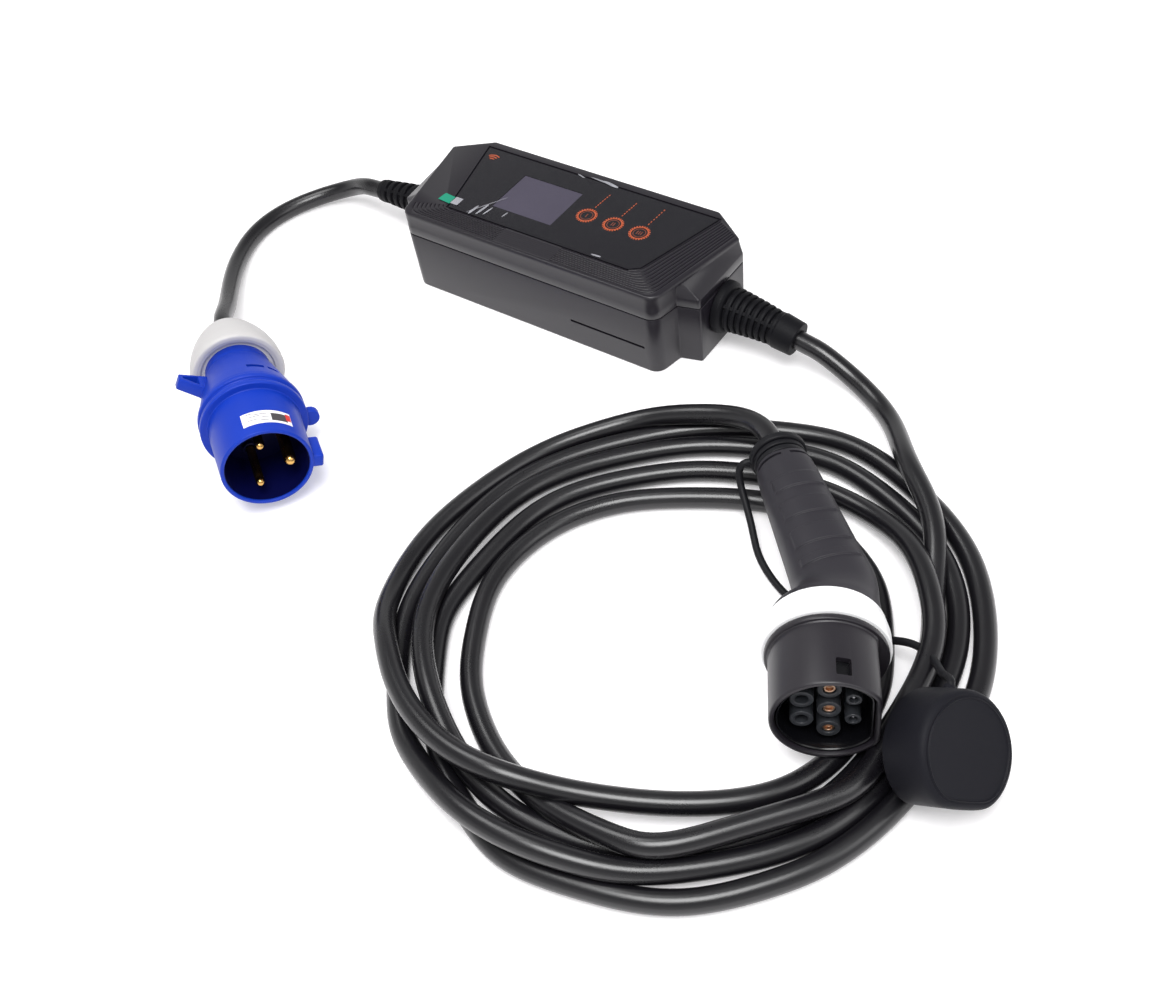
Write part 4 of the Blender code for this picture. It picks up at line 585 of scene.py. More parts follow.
OUTER_PASS = (
    (75, 174.5, 6.8), (45, 177.4, 6.8), (15, 173, 6.8), (-13, 164, 6.8), (-28, 168, 6.8), (-40, 171, 6.8),
    (-60, 176, 6.8), (-85, 175, 6.8), (-95, 170, 6.8), (-110, 160, 6.8), (-125, 150, 6.8), (-140, 142, 6.8),
    (-155, 137, 6.8), (-195, 123, 6.8), (-235, 115, 6.8), (-265, 122, 6.8))
ACROSS_PASS = (
    (75, 133, 6.8), (60, 141, 9), (46, 146, 17), (30, 147.5, 20), (15, 148, 19), (-16, 151.5, 18), (-25, 152, 18),
    (-60, 156.5, 19), (-69, 153, 18), (-85, 145, 12), (-103, 136, 6.8), (-116, 130, 6.8), (-128, 126, 6.8),
    (-141, 120, 6.8), (-161, 117, 6.8), (-177, 111.5, 6.8), (-194, 106, 6.8), (-216, 98, 6.8), (-239, 93, 6.8),
    (-265, 100, 6.8))
TOP_PASS = (
    (75, 112, 6.8), (59, 113, 6.8), (44, 118, 6.8), (30, 118, 6.8), (17, 120, 6.8), (5, 125, 6.8), (-15, 129, 6.8),
    (-30, 131.7, 6.8), (-43, 130.5, 6.8), (-58, 129.6, 6.8), (-70, 131.3, 6.8), (-84, 139, 10), (-96, 151, 20),
    (-106, 158, 20.5), (-117, 163, 21), (-129, 167, 20), (-141, 170, 19), (-149, 174, 13), (-162, 173, 6.8),
    (-175, 169, 6.8), (-193, 163, 6.8), (-210, 162, 6.8), (-229, 159, 12))
TAIL_POINTS = (
    (0.1542, -0.0947, 0.0209), (0.1700, -0.0880, 0.0232), (0.1850, -0.0845, 0.0268), (0.2000, -0.0850, 0.0312),
    (0.2125, -0.0890, 0.0345))


def coil_points():
    points = []
    for winding in (LEAD_PASS, BACK_PASS, OUTER_PASS, ACROSS_PASS, TOP_PASS):
        for angle, radius, height in winding:
            turn = math.radians(angle)
            points.append((
                COIL_CENTRE.x + radius / 1000 * math.cos(turn), COIL_CENTRE.y + radius / 1000 * math.sin(turn),
                height / 1000))
    return points


def straight_start(start, direction, inside, reaches):
    """A cord's first points: from inside its seat, straight out along the seat's axis."""
    return [start - direction * inside, start] + [start + direction * reach for reach in reaches]


OUTPUT_TIP = Vector((0.1892, 0.0024, 0.0246))
OUTPUT_DIRECTION = Vector((0.9835, -0.0523, -0.1736)).normalized()
INPUT_TIP = Vector((-0.1895, 0.0045, 0.0262))
INPUT_DIRECTION = Vector((-0.9924, 0.0175, -0.1219)).normalized()
LEAD_START = (0.2200, -0.0010, 0.0160)


def connector_bars(margin):
    """Rounded bars that fill the connector, for the cable to keep clear of."""
    line = [(NOSE_PLACE @ Vector((0, 0, z)), NOSE_PLACE @ Vector((0, 0, z - 0.010)), 0.0312) for z in (-0.012, -0.028)]
    line.append((NOSE_PLACE @ Vector((0, 0, -0.042)), NOSE_PLACE @ Vector((0, 0, -0.062)), 0.0340))
    sizes = ((0.004, 0.0300), (0.018, 0.0245), (0.040, 0.0215), (0.072, 0.0200), (0.106, 0.0182), (0.122, 0.0168))
    for (near, radius), (far, _) in zip(sizes, sizes[1:]):
        line.append((NOSE_PLACE @ grip_place(near)[0], NOSE_PLACE @ grip_place(far)[0], radius))
    line.append((ENTRY_PLACE @ Vector((0, 0, 0)), ENTRY_PLACE @ Vector((0, 0, 0.016)), 0.0182))
    starts = [np.array(a) for a, b, radius in line]
    ends = [np.array(b) for a, b, radius in line]
    return starts, ends, [radius + margin for a, b, radius in line]


def make_output_cable():
    back = (ENTRY_PLACE.to_3x3() @ Vector((0, 0, 1))).normalized()
    boot_end = ENTRY_PLACE @ Vector((0, 0, BOOT_LENGTH))
    points = straight_start(OUTPUT_TIP, OUTPUT_DIRECTION, 0.012, (0.008, 0.017)) + [Vector(LEAD_START)]
    points += [Vector(p) for p in coil_points()] + [Vector(p) for p in TAIL_POINTS]
    points += list(reversed(straight_start(boot_end, back, 0.012, (0.003, 0.006))))
    route = smooth_route(points, LAY_STEP)
    route = settle(route, CABLE_RADIUS, connector_bars(CABLE_RADIUS + 0.0003), held=(5, 4))
    route = smooth_route(route, 0.004)
    return cord_curve("output_cable", route, CABLE_RADIUS, JACKET_BLACK), route


output_cable, output_route = make_output_cable()
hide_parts("output_lead", "output_coil", "output_tail")

# Input cable, into the back of the plug
PLUG_MOUTH = Vector((-0.0432, -0.2768, 0.0400))
PLUG_AXIS = Vector((0.829, -0.556, 0.060))
PLUG_KEY_ANGLE = math.radians(-16.4)
PLUG_REAR = -0.1598
PLUG_RIGHT = Vector((-PLUG_AXIS.y, PLUG_AXIS.x, 0.0)).normalized()
PLUG_PLACE = frame_matrix(
    PLUG_MOUTH, PLUG_AXIS, PLUG_RIGHT * math.cos(PLUG_KEY_ANGLE) + Vector((0, 0, 1)) * math.sin(PLUG_KEY_ANGLE))
INPUT_POINTS = (
    (-0.2254, 0.0094, 0.0150), (-0.2471, -0.0034, 0.0100), (-0.2631, -0.0242, 0.0075),
    (-0.2706, -0.0482, 0.0070), (-0.2690, -0.0748, 0.0070), (-0.2544, -0.1061, 0.0090),
    (-0.2286, -0.1382, 0.0150), (-0.2062, -0.1602, 0.0215))


def make_input_cable():
    back = -(PLUG_PLACE.to_3x3() @ Vector((0, 0, 1))).normalized()
    rear = PLUG_PLACE @ Vector((0, 0, PLUG_REAR))
    points = straight_start(INPUT_TIP, INPUT_DIRECTION, 0.012, (0.008, 0.017)) + [Vector(p) for p in INPUT_POINTS]
    points += list(reversed(straight_start(rear, back, 0.014, (0.008, 0.017))))
    route = smooth_route(points, 0.004)
    route = stiff_shift(len(route), (7, 7), 60.0) @ route
    return cord_curve("input_cable_cord", route, CABLE_RADIUS, JACKET_BLACK), route


input_cord, input_route = make_input_cable()
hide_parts("input_cable")

# Strap of the cap
STRAP_RADIUS = 0.0023
CAP_FACE_CENTRE = Vector((0.4215, -0.2460, 0.0450))
CAP_AXIS = Vector((0.758, -0.080, 0.647))
CAP_TURN = -47.0
CAP_PLACE = frame_matrix(CAP_FACE_CENTRE, CAP_AXIS, Vector((0.0, 0.0, -1.0))) @ spin_place(CAP_TURN)
CAP_RADIUS = 0.0322
CAP_FLAT = 0.0288
STRAP_SEAT_ANGLE = math.radians(120.0 - CAP_TURN)
STRAP_SEAT_DEPTH = 0.0235
STRAP_SEAT_RAY = Vector((math.cos(STRAP_SEAT_ANGLE), math.sin(STRAP_SEAT_ANGLE), 0.0))
RING_MIDDLE = ENTRY_PLACE @ Vector((0.0, 0.0, 0.0116))
RING_RADIUS = 0.0180
STRAP_POINTS = (
    (0.2165, -0.1240, 0.0330), (0.2190, -0.1275, 0.0270), (0.2245, -0.1335, 0.0205), (0.2330, -0.1415, 0.0150),
    (0.2410, -0.1500, 0.0105), (0.2500, -0.1600, 0.0065), (0.2630, -0.1690, 0.0040), (0.2784, -0.1766, 0.0032),
    (0.2970, -0.1810, 0.0032), (0.3140, -0.1805, 0.0034), (0.3284, -0.1790, 0.0042), (0.3405, -0.1815, 0.0090),
    (0.3508, -0.1842, 0.0160), (0.3572, -0.1829, 0.0190), (0.3653, -0.1838, 0.0210), (0.3738, -0.1886, 0.0250),
    (0.3822, -0.1964, 0.0305), (0.3880, -0.2044, 0.0350))


def make_strap():
    boot_direction = ENTRY_PLACE.to_3x3() @ Vector((0.0, 0.0, 1.0))
    aside = Vector((-boot_direction.y, boot_direction.x, 0.0)).normalized()
    start = RING_MIDDLE + aside * (RING_RADIUS - 0.0010)
    outwards = (CAP_PLACE.to_3x3() @ STRAP_SEAT_RAY).normalized()
    end = CAP_PLACE @ (STRAP_SEAT_RAY * (CAP_RADIUS - 0.0004) + Vector((0.0, 0.0, -STRAP_SEAT_DEPTH)))
    points = [start, start + aside * 0.005] + [Vector(p) for p in STRAP_POINTS] + [end + outwards * 0.006, end]
    route = smooth_route(points, 0.003)
    route = stiff_shift(len(route), (2, 2), 8.0) @ route
    return cord_curve("cap_tether", route, STRAP_RADIUS, SOFT_BLACK, resolution=4), route


strap, strap_route = make_strap()
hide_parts("cap_strap")


# Car connector: nose, liner, towers, contacts, collar

NOSE_RADIUS = 0.0312
NOSE_FLAT = 0.0262
ROUND = 1.0
D_SIDES = 120
RIM_RINGS = (
    (-0.0450, 0.0272), (-0.0450, 0.0324), (-0.0447, 0.0330), (-0.0442, 0.0333), (-0.0418, 0.0333),
    (-0.0413, 0.0330), (-0.0411, 0.0324))
NOSE_RINGS = (
    (-0.0410, 0.0318), (-0.0403, 0.0313), (-0.0016, 0.0312), (-0.0008, 0.03105), (-0.0003, 0.0307),
    (0.0000, 0.0302), (0.0000, 0.0292), (-0.0004, 0.0286), (-0.0016, 0.0282), (-0.0045, 0.0281),
    (-0.0270, 0.0280))
LINER_RINGS = (
    (-0.0267, 0.0277), (-0.0030, 0.0278), (-0.0024, 0.0276), (-0.0020, 0.0272), (-0.0020, 0.0268),
    (-0.0024, 0.0264), (-0.0032, 0.0262), (-0.0232, 0.0258))


def d_ring(radius, flat, height, count=D_SIDES, blend=0.0012):
    """A circle cut off by a flat at +X, with rounded corners where the flat begins."""
    points = []
    for i in range(count):
        angle = 2 * math.pi * (i + 0.5) / count
        over = radius * math.cos(angle) - flat
        x = flat + (over - math.sqrt(over * over + blend * blend)) / 2
        points.append((x, radius * math.sin(angle), height))
    return points


def nose_ring(height, radius):
    return d_ring(radius, NOSE_FLAT - (NOSE_RADIUS - radius), height)


def make_nose():
    rings = [d_ring(radius, ROUND, height) for height, radius in RIM_RINGS]
    rings += [nose_ring(height, radius) for height, radius in NOSE_RINGS]
    lock = block((NOSE_RADIUS - 0.0010, 0.0, -0.0115), (0.0100, 0.0080, 0.0108), spin_place(77.0), bevel=0.0008)
    slot = block((-NOSE_RADIUS, 0.0, -0.0110), (0.0040, 0.0040, 0.0100), bevel=0.0006)
    nose = carved(stacked(rings), lock, slot)
    bmesh.ops.transform(nose, matrix=NOSE_PLACE, verts=nose.verts)
    piece("nose_shell", nose, NOSE_BLACK, nodes=("connector_nose",))
    liner = stacked([nose_ring(height, radius) for height, radius in LINER_RINGS], NOSE_PLACE)
    piece("nose_liner", liner, INSERT_BLACK, nodes=("connector_insert",))


FLOOR_Z = -0.0234
TOWER_TOP = -0.0077
LARGE_TOWER = 0.0062
SMALL_TOWER = 0.0042
HOLE_SHARE = 0.56
HOLE_FLOOR = -0.0215
TOWERS = (
    (0.0125, 0.008, SMALL_TOWER, True), (0.0125, -0.008, SMALL_TOWER, True), (0.0, 0.016, LARGE_TOWER, True),
    (0.0, 0.0, LARGE_TOWER, True), (0.0, -0.016, LARGE_TOWER, True), (-0.014, 0.008, LARGE_TOWER, False),
    (-0.014, -0.008, LARGE_TOWER, False))


def make_towers():
    towers = bmesh.new()
    sleeves = bmesh.new()
    pins = bmesh.new()
    for x, y, radius, fitted in TOWERS:
        seat = NOSE_PLACE @ Matrix.Translation((x, y, 0.0))
        hole = radius * HOLE_SHARE
        outline = [
            (0.0, FLOOR_Z), (radius + 0.0003, FLOOR_Z), (radius, TOWER_TOP), (hole, TOWER_TOP),
            (hole, HOLE_FLOOR), (0.0, HOLE_FLOOR)]
        joined(towers, turned(fillet(outline, 0.0006), seat, 48, closed=False))
        if fitted and radius == LARGE_TOWER:
            front = TOWER_TOP - 0.0009
            outline = [
                (0.0, HOLE_FLOOR), (0.0031, HOLE_FLOOR), (0.0031, front), (0.0019, front), (0.0019, front - 0.0022),
                (0.0, front - 0.0022)]
            joined(sleeves, turned(fillet(outline, 0.0004), seat, 40, closed=False))
        elif fitted:
            front = TOWER_TOP - 0.0016
            outline = [
                (0.0, HOLE_FLOOR), (0.0014, HOLE_FLOOR), (0.0014, front - 0.0010), (0.0010, front - 0.0003),
                (0.0005, front), (0.0, front + 0.0001)]
            joined(pins, turned(outline, seat, 24, closed=False))
    piece("contact_towers", towers, TOWER_GREY)
    piece("contact_sleeves", sleeves, COPPER, nodes=("line_contact", "neutral_contact", "earth_contact"))
    piece("signal_pins", pins, STEEL, nodes=("pilot_contact", "proximity_contact"))


def make_collar():
    outline = [
        (0.0275, -0.0453), (0.0350, -0.0453), (0.0348, -0.0550), (0.0328, -0.0642), (0.0316, -0.0652),
        (0.0275, -0.0652)]
    collar = turned(fillet(outline, 0.0010, 5, closed=True), NOSE_PLACE, 128)
    piece("nose_collar", collar, COLLAR_WHITE, nodes=("connector_collar",))


# Handle, with raised pads across its top and two curved slots before its rear end
HANDLE_STATIONS = (
    (0.000, 0.0316, 0.0316), (0.005, 0.0300, 0.0298), (0.011, 0.0272, 0.0264), (0.018, 0.0250, 0.0232),
    (0.027, 0.0234, 0.0209), (0.040, 0.0222, 0.0198), (0.055, 0.0213, 0.0193), (0.072, 0.0204, 0.0189),
    (0.090, 0.0194, 0.0184), (0.106, 0.0184, 0.0178), (0.116, 0.0176, 0.0172), (0.1212, 0.0168, 0.0165))
GRIP_PADS = ((0.0316, 0.0363), (0.0453, 0.0575), (0.0676, 0.0792), (0.0898, 0.0993))
PAD_RISE = 0.0010
PAD_EDGE = 0.0009
PAD_HALF_ANGLE = math.radians(48.0)
PAD_SIDE_BLEND = math.radians(7.0)
GRIP_SIDES = 112
GRIP_POWER = 0.88
REAR_SLOT_DISTANCE = 0.1180
REAR_SLOT_WIDTH = 0.0022
REAR_SLOT_DEPTH = 0.0015
REAR_SLOT_ARCS = ((-72.0, -8.0), (10.0, 62.0))


def pad_share(distance):
    """How far the pads stand out at a distance behind the collar, from 0 to 1."""
    shares = [0.0]
    for start, end in GRIP_PADS:
        rise = smoothstep((distance - start + PAD_EDGE) / PAD_EDGE)
        fall = smoothstep((end + PAD_EDGE - distance) / PAD_EDGE)
        shares.append(min(rise, fall))
    return max(shares)


def grip_section(distance, half_width, half_height):
    middle, direction = grip_place(distance)
    across = direction.cross(Vector((0.0, 1.0, 0.0))).normalized()
    above = across.cross(direction)
    lift = PAD_RISE * pad_share(distance)
    points = []
    for i in range(GRIP_SIDES):
        angle = 2 * math.pi * i / GRIP_SIDES
        from_top = abs((angle - math.pi / 2 + math.pi) % (2 * math.pi) - math.pi)
        rise = lift * smoothstep((PAD_HALF_ANGLE - from_top) / PAD_SIDE_BLEND)
        wide = math.copysign(abs(math.cos(angle)) ** GRIP_POWER, math.cos(angle)) * (half_width + rise)
        tall = math.copysign(abs(math.sin(angle)) ** GRIP_POWER, math.sin(angle)) * (half_height + rise)
        points.append(middle + across * wide + above * tall)
    return points


def bent_bar(first, last, inner, outer, low, high, place, steps=24):
    """A closed bar with a square section that bends round local Z, from one angle to another."""
    rings = []
    for step in range(steps + 1):
        angle = math.radians(first + (last - first) * step / steps)
        ray = Vector((math.sin(angle), -math.cos(angle), 0.0))
        rings.append([
            ray * inner + Vector((0, 0, low)), ray * outer + Vector((0, 0, low)),
            ray * outer + Vector((0, 0, high)), ray * inner + Vector((0, 0, high))])
    return stacked(rings, place)


def make_handle():
    stations = np.array(HANDLE_STATIONS)
    sizes = smooth_route(stations, 0.0005)
    distances = set(np.round(np.arange(0.0, 0.1212, 0.0020), 5)) | {0.1212}
    for start, end in GRIP_PADS:
        for edge in (start - PAD_EDGE, end):
            distances.update(edge + PAD_EDGE * share for share in (0.0, 0.25, 0.5, 0.75, 1.0))
    rings = []
    for distance in sorted(distances):
        half_width = np.interp(distance, sizes[:, 0], sizes[:, 1])
        half_height = np.interp(distance, sizes[:, 0], sizes[:, 2])
        rings.append(grip_section(distance, half_width, half_height))
    for distance, inset in ((0.1216, 0.0002), (0.1219, 0.0006), (0.1220, 0.0012), (0.1220, 0.0040)):
        rings.append(grip_section(distance, 0.0168 - inset, 0.0165 - inset))
    handle = stacked(rings, NOSE_PLACE)
    middle = REAR_SLOT_DISTANCE - HANDLE_LENGTH
    low = middle - REAR_SLOT_WIDTH / 2
    high = middle + REAR_SLOT_WIDTH / 2
    outside = float(np.interp(REAR_SLOT_DISTANCE, sizes[:, 0], sizes[:, 1]))
    slots = [
        bent_bar(first, last, outside - REAR_SLOT_DEPTH, outside + 0.002, low, high, ENTRY_PLACE)
        for first, last in REAR_SLOT_ARCS]
    piece("grip_handle", carved(handle, *slots), GRIP_BLACK, nodes=("connector_handle",))


def make_boot():
    bore = 0.0069
    outline = [
        (bore, 0.0003), (0.0164, 0.0003), (0.0164, 0.0040), (0.0138, 0.0040), (0.0138, 0.0053), (0.0164, 0.0053),
        (0.0164, 0.0089), (0.0136, 0.0089), (0.0136, 0.0143), (0.0150, 0.0143), (0.0146, 0.0176),
        (0.0112, 0.0180), (0.0094, 0.0229), (bore, 0.0229)]
    piece("grip_boot", turned(fillet(outline, 0.0008, 4, closed=True), ENTRY_PLACE, 72), SOFT_BLACK,
          nodes=("connector_boot",))
    outline = [(0.0139, 0.0092), (0.0180, 0.0092), (0.0180, 0.0140), (0.0139, 0.0140)]
    piece("tether_band", turned(fillet(outline, 0.0014, 5, closed=True), ENTRY_PLACE, 72), SOFT_BLACK,
          nodes=("tether_ring",))


CAP_RINGS = (
    (-0.0035, 0.0286), (-0.0041, 0.0292), (-0.0278, 0.0294), (-0.0287, 0.0298), (-0.0290, 0.0304),
    (-0.0290, 0.0312), (-0.0287, 0.0318), (-0.0280, 0.0322), (-0.0050, 0.0320), (-0.0036, 0.0318),
    (-0.0024, 0.0314), (-0.0014, 0.0307), (-0.0008, 0.0299), (-0.0006, 0.0290), (-0.0008, 0.0285),
    (-0.0008, 0.0281), (-0.0003, 0.0278), (-0.0001, 0.0275), (-0.0003, 0.0272), (-0.0008, 0.0269),
    (-0.0009, 0.0262))


def make_cap():
    rings = [d_ring(radius, CAP_FLAT - (CAP_RADIUS - radius), height, blend=0.0030) for height, radius in CAP_RINGS]
    cap = stacked(rings, CAP_PLACE)
    seat = CAP_PLACE @ (STRAP_SEAT_RAY * (CAP_RADIUS - 0.0015) + Vector((0.0, 0.0, -STRAP_SEAT_DEPTH)))
    outwards = CAP_PLACE.to_3x3() @ STRAP_SEAT_RAY
    boss = fillet([(0.0, 0.0), (0.0046, 0.0), (0.0036, 0.0026), (0.0025, 0.0050), (0.0, 0.0050)], 0.0008)
    joined(cap, turned(boss, frame_matrix(seat, outwards, Vector((0.0, 0.0, 1.0))), 32, closed=False))
    piece("rubber_cap", cap, CAP_BLACK, nodes=("protective_cap",))


make_nose()
make_towers()
make_collar()
make_handle()
make_boot()
make_cap()


# Industrial plug

SHROUD_PROFILE = (
    (0.0274, -0.0575), (0.0274, 0.0), (0.0300, 0.0), (0.0308, -0.0450), (0.0358, -0.0450), (0.0358, -0.0492),
    (0.0336, -0.0498), (0.0336, -0.0530), (0.0358, -0.0536), (0.0358, -0.0575))
REAR_PROFILE = (
    (0.0, -0.0578), (0.0345, -0.0578), (0.0342, -0.0606), (0.0320, -0.0700), (0.0252, -0.0960), (0.0236, -0.1010),
    (0.0228, -0.1075), (0.0226, -0.1120), (0.0, -0.1120))
NUT_CURVE = (
    (0.0325, -0.1090), (0.0320, -0.1168), (0.0308, -0.1230), (0.0290, -0.1295), (0.0266, -0.1360),
    (0.0234, -0.1430), (0.0196, -0.1500), (0.0152, -0.1560), (0.0110, -0.1592))
PLUG_BODY_FRONT = -0.0578
PIN_CIRCLE = 0.0155
PINS = ((0.0, 0.0040, "plug_earth_pin"), (105.0, 0.0030, "plug_line_pin"), (-105.0, 0.0030, "plug_neutral_pin"))


def make_shroud():
    shroud = turned(fillet(SHROUD_PROFILE, 0.0011, 5, closed=True), PLUG_PLACE, 128)
    joined(shroud, block((0.0324, 0.0, -0.0115), (0.0084, 0.0094, 0.0215), PLUG_PLACE, bevel=0.0016))
    ear = drum((0.0380, -0.0005, -0.0512), 0.0062, 0.0060, bevel=0.0010)
    bmesh.ops.transform(ear, matrix=PLUG_PLACE, verts=ear.verts)
    joined(shroud, ear)
    piece("plug_front", shroud, PLUG_BLUE, nodes=("plug_shroud",))
    # A thin navy sleeve inside the shroud's mouth: a dark sheet that paints the shade in the well
    well = [(0.0272, -0.0016), (0.0274, -0.0016), (0.0274, -0.0440), (0.0266, -0.0440)]
    piece("plug_well_shade_sleeve", turned(well, PLUG_PLACE, 96), WELL_SHADE_BLUE)


def make_carrier():
    outline = [(0.0, -0.0440), (0.0270, -0.0440), (0.0270, -0.0574), (0.0, -0.0574)]
    carrier = turned(fillet(outline, 0.0006), PLUG_PLACE, 96, closed=False)
    pins = bmesh.new()
    for degrees, radius, _ in PINS:
        seat = PLUG_PLACE @ spin_place(degrees) @ Matrix.Translation((PIN_CIRCLE, 0.0, 0.0))
        ring = [(radius + 0.0002, -0.0441), (radius + 0.0022, -0.0441), (radius + 0.0020, -0.0405), (radius + 0.0004, -0.0405)]
        joined(carrier, turned(fillet(ring, 0.0005, closed=True), seat, 40))
        tip = -0.0025
        outline = [(0.0, -0.0550), (radius, -0.0550), (radius, tip - radius)]
        for step in range(1, 9):
            turn = math.radians(90.0 * step / 8)
            outline.append((radius * math.cos(turn) ** 0.8 if step < 8 else 0.0, tip - radius * (1 - math.sin(turn) ** 1.3)))
        joined(pins, turned(outline, seat, 40, closed=False))
    # The carrier's face is painted in the well's dark navy shade
    piece("pin_carrier", carrier, WELL_SHADE_BLUE, nodes=("plug_pin_carrier",))
    piece("plug_pins", pins, BRASS, nodes=tuple(name for _, _, name in PINS))


def make_rear_body():
    body = turned(fillet(REAR_PROFILE, 0.0009), PLUG_PLACE, 128, closed=False)
    slots = []
    for degrees, width in ((80.0, 0.0120), (57.0, 0.0085)):
        slots.append(block((0.0300, 0.0, PLUG_BODY_FRONT - 0.0132), (0.0090, width, 0.0042), PLUG_PLACE @ spin_place(degrees), bevel=0.0004))
    body = carved(body, *slots)
    lug_place = PLUG_PLACE @ spin_place(163.0) @ Matrix.Rotation(math.pi / 2, 4, 'X')
    front = -0.0738
    back = -0.0918
    outline = fillet([(0.0245, front), (0.0460, back + 0.0085), (0.0460, back + 0.0026), (0.0240, back)], 0.0012, closed=True)
    lug = stacked([[(x, y, z) for x, y in outline] for z in (-0.0042, 0.0042)])
    hollow = fillet([(0.0325, front - 0.0066), (0.0432, back + 0.0066), (0.0432, back + 0.0046), (0.0325, back + 0.0022)], 0.0006, closed=True)
    lug = carved(lug, stacked([[(x, y, z) for x, y in hollow] for z in (-0.0026, 0.0060)]))
    bmesh.ops.bevel(
        lug, geom=[e for e in lug.edges if e.calc_face_angle(0.0) > 0.9], offset=0.0005, affect='EDGES', segments=2,
        profile=0.5, material=-1, clamp_overlap=True)
    bmesh.ops.transform(lug, matrix=lug_place, verts=lug.verts)
    piece("plug_back", joined(body, lug), PLUG_BLUE, nodes=("plug_rear_body",))


def make_nut():
    curve = smooth_route([(radius, 0.0, height) for radius, height in NUT_CURVE], 0.0015)
    outside = [(point[0], point[2]) for point in curve]
    lip = fillet([
        (0.0200, -0.1100), (0.0255, -0.1100), (0.0258, -0.1078), (0.0280, -0.1072), (0.0288, -0.1068),
        (0.0316, -0.1068), outside[0]], 0.0010, 5)
    tail = [(0.0092, -0.1597), (0.0069, -0.1597), (0.0069, -0.1200), (0.0200, -0.1200)]
    piece("plug_nut", turned(lip + outside[1:] + tail, PLUG_PLACE, 128), NUT_GREY, nodes=("plug_gland_nut",))


def curved_patch(first, last, low, high, radius, thickness=0.00012, steps=18):
    """A thin sheet wrapped round the shroud between two angles and two heights."""
    rings = []
    for step in range(steps + 1):
        angle = math.radians(first + (last - first) * step / steps)
        ray = Vector((math.cos(angle), math.sin(angle), 0.0))
        slope = 0.0010 / 0.056
        under = radius - low * slope
        over = radius - high * slope
        rings.append([
            ray * under + Vector((0, 0, low)), ray * (under + thickness) + Vector((0, 0, low)),
            ray * (over + thickness) + Vector((0, 0, high)), ray * over + Vector((0, 0, high))])
    return stacked(rings, PLUG_PLACE)


LABEL_RADIUS = 0.03004
LABEL_LOW = -0.0213
LABEL_HIGH = -0.0085
LABEL_RULES = ((84, 95), (97, 109), (83, 91), (94, 107), (85, 100), (102, 110))


def make_label():
    piece("blank_label", curved_patch(54.0, 116.0, LABEL_LOW, LABEL_HIGH, LABEL_RADIUS, steps=36), LABEL_WHITE,
          nodes=("plug_label",))
    raised = LABEL_RADIUS + 0.00008
    rules = bmesh.new()
    for number, (first, last) in enumerate(LABEL_RULES):
        middle = LABEL_HIGH - 0.0030 - 0.0016 * number
        joined(rules, curved_patch(first, last, middle - 0.00030, middle + 0.00030, raised))
    piece("label_rules", rules, LABEL_GREY)
    piece("label_block", curved_patch(60.0, 80.0, LABEL_LOW + 0.0030, LABEL_HIGH - 0.0022, raised), LABEL_DARK)
    piece("label_corner", curved_patch(54.6, 61.5, LABEL_LOW + 0.0020, LABEL_HIGH - 0.0040, raised + 0.00004), LABEL_RED)


make_shroud()
make_carrier()
make_rear_body()
make_nut()
make_label()


# Ribbed strain reliefs, turned straight and then bent

RELIEF_ROOT_X = 0.1283
LEFT_SHIFT = 0.0045
OUTLET_Y = 0.004
OUTLET_Z = 0.030
RELIEF_TIP_X = 0.190
RELIEF_NECK = 0.0060
RELIEF_FLANGE = 0.0064
RIB_DEPTH = 0.0023
WEB_WIDTH = 0.0022


def relief_length(root, collar_radius, droop, yaw):
    corner = (collar_radius - 0.0006) * math.sin(droop)
    return (RELIEF_TIP_X - corner - root) / (math.cos(droop / 2) * math.cos(yaw / 2))


def bend_relief(bm, root, length, droop, yaw, side):
    """Curve a straight relief that lies on local Z, then set it on the case's lug."""
    for vertex in bm.verts:
        along = vertex.co.z
        share = max(along, 0.0) / length
        down = droop * share
        aside = yaw * share
        reach = max(along, 0.0)
        centre = Vector((
            reach * math.cos(down / 2) * math.cos(aside / 2) + min(along, 0.0), reach * math.sin(aside / 2),
            -reach * math.sin(down / 2)))
        forward = Vector((math.cos(down) * math.cos(aside), math.sin(aside), -math.sin(down)))
        across = Vector((-math.sin(aside), math.cos(aside), 0.0))
        above = forward.cross(across)
        point = centre + across * vertex.co.x + above * vertex.co.y
        vertex.co = Vector((side * (root + point.x), OUTLET_Y + point.y, OUTLET_Z + point.z))
    return close_up(bm)


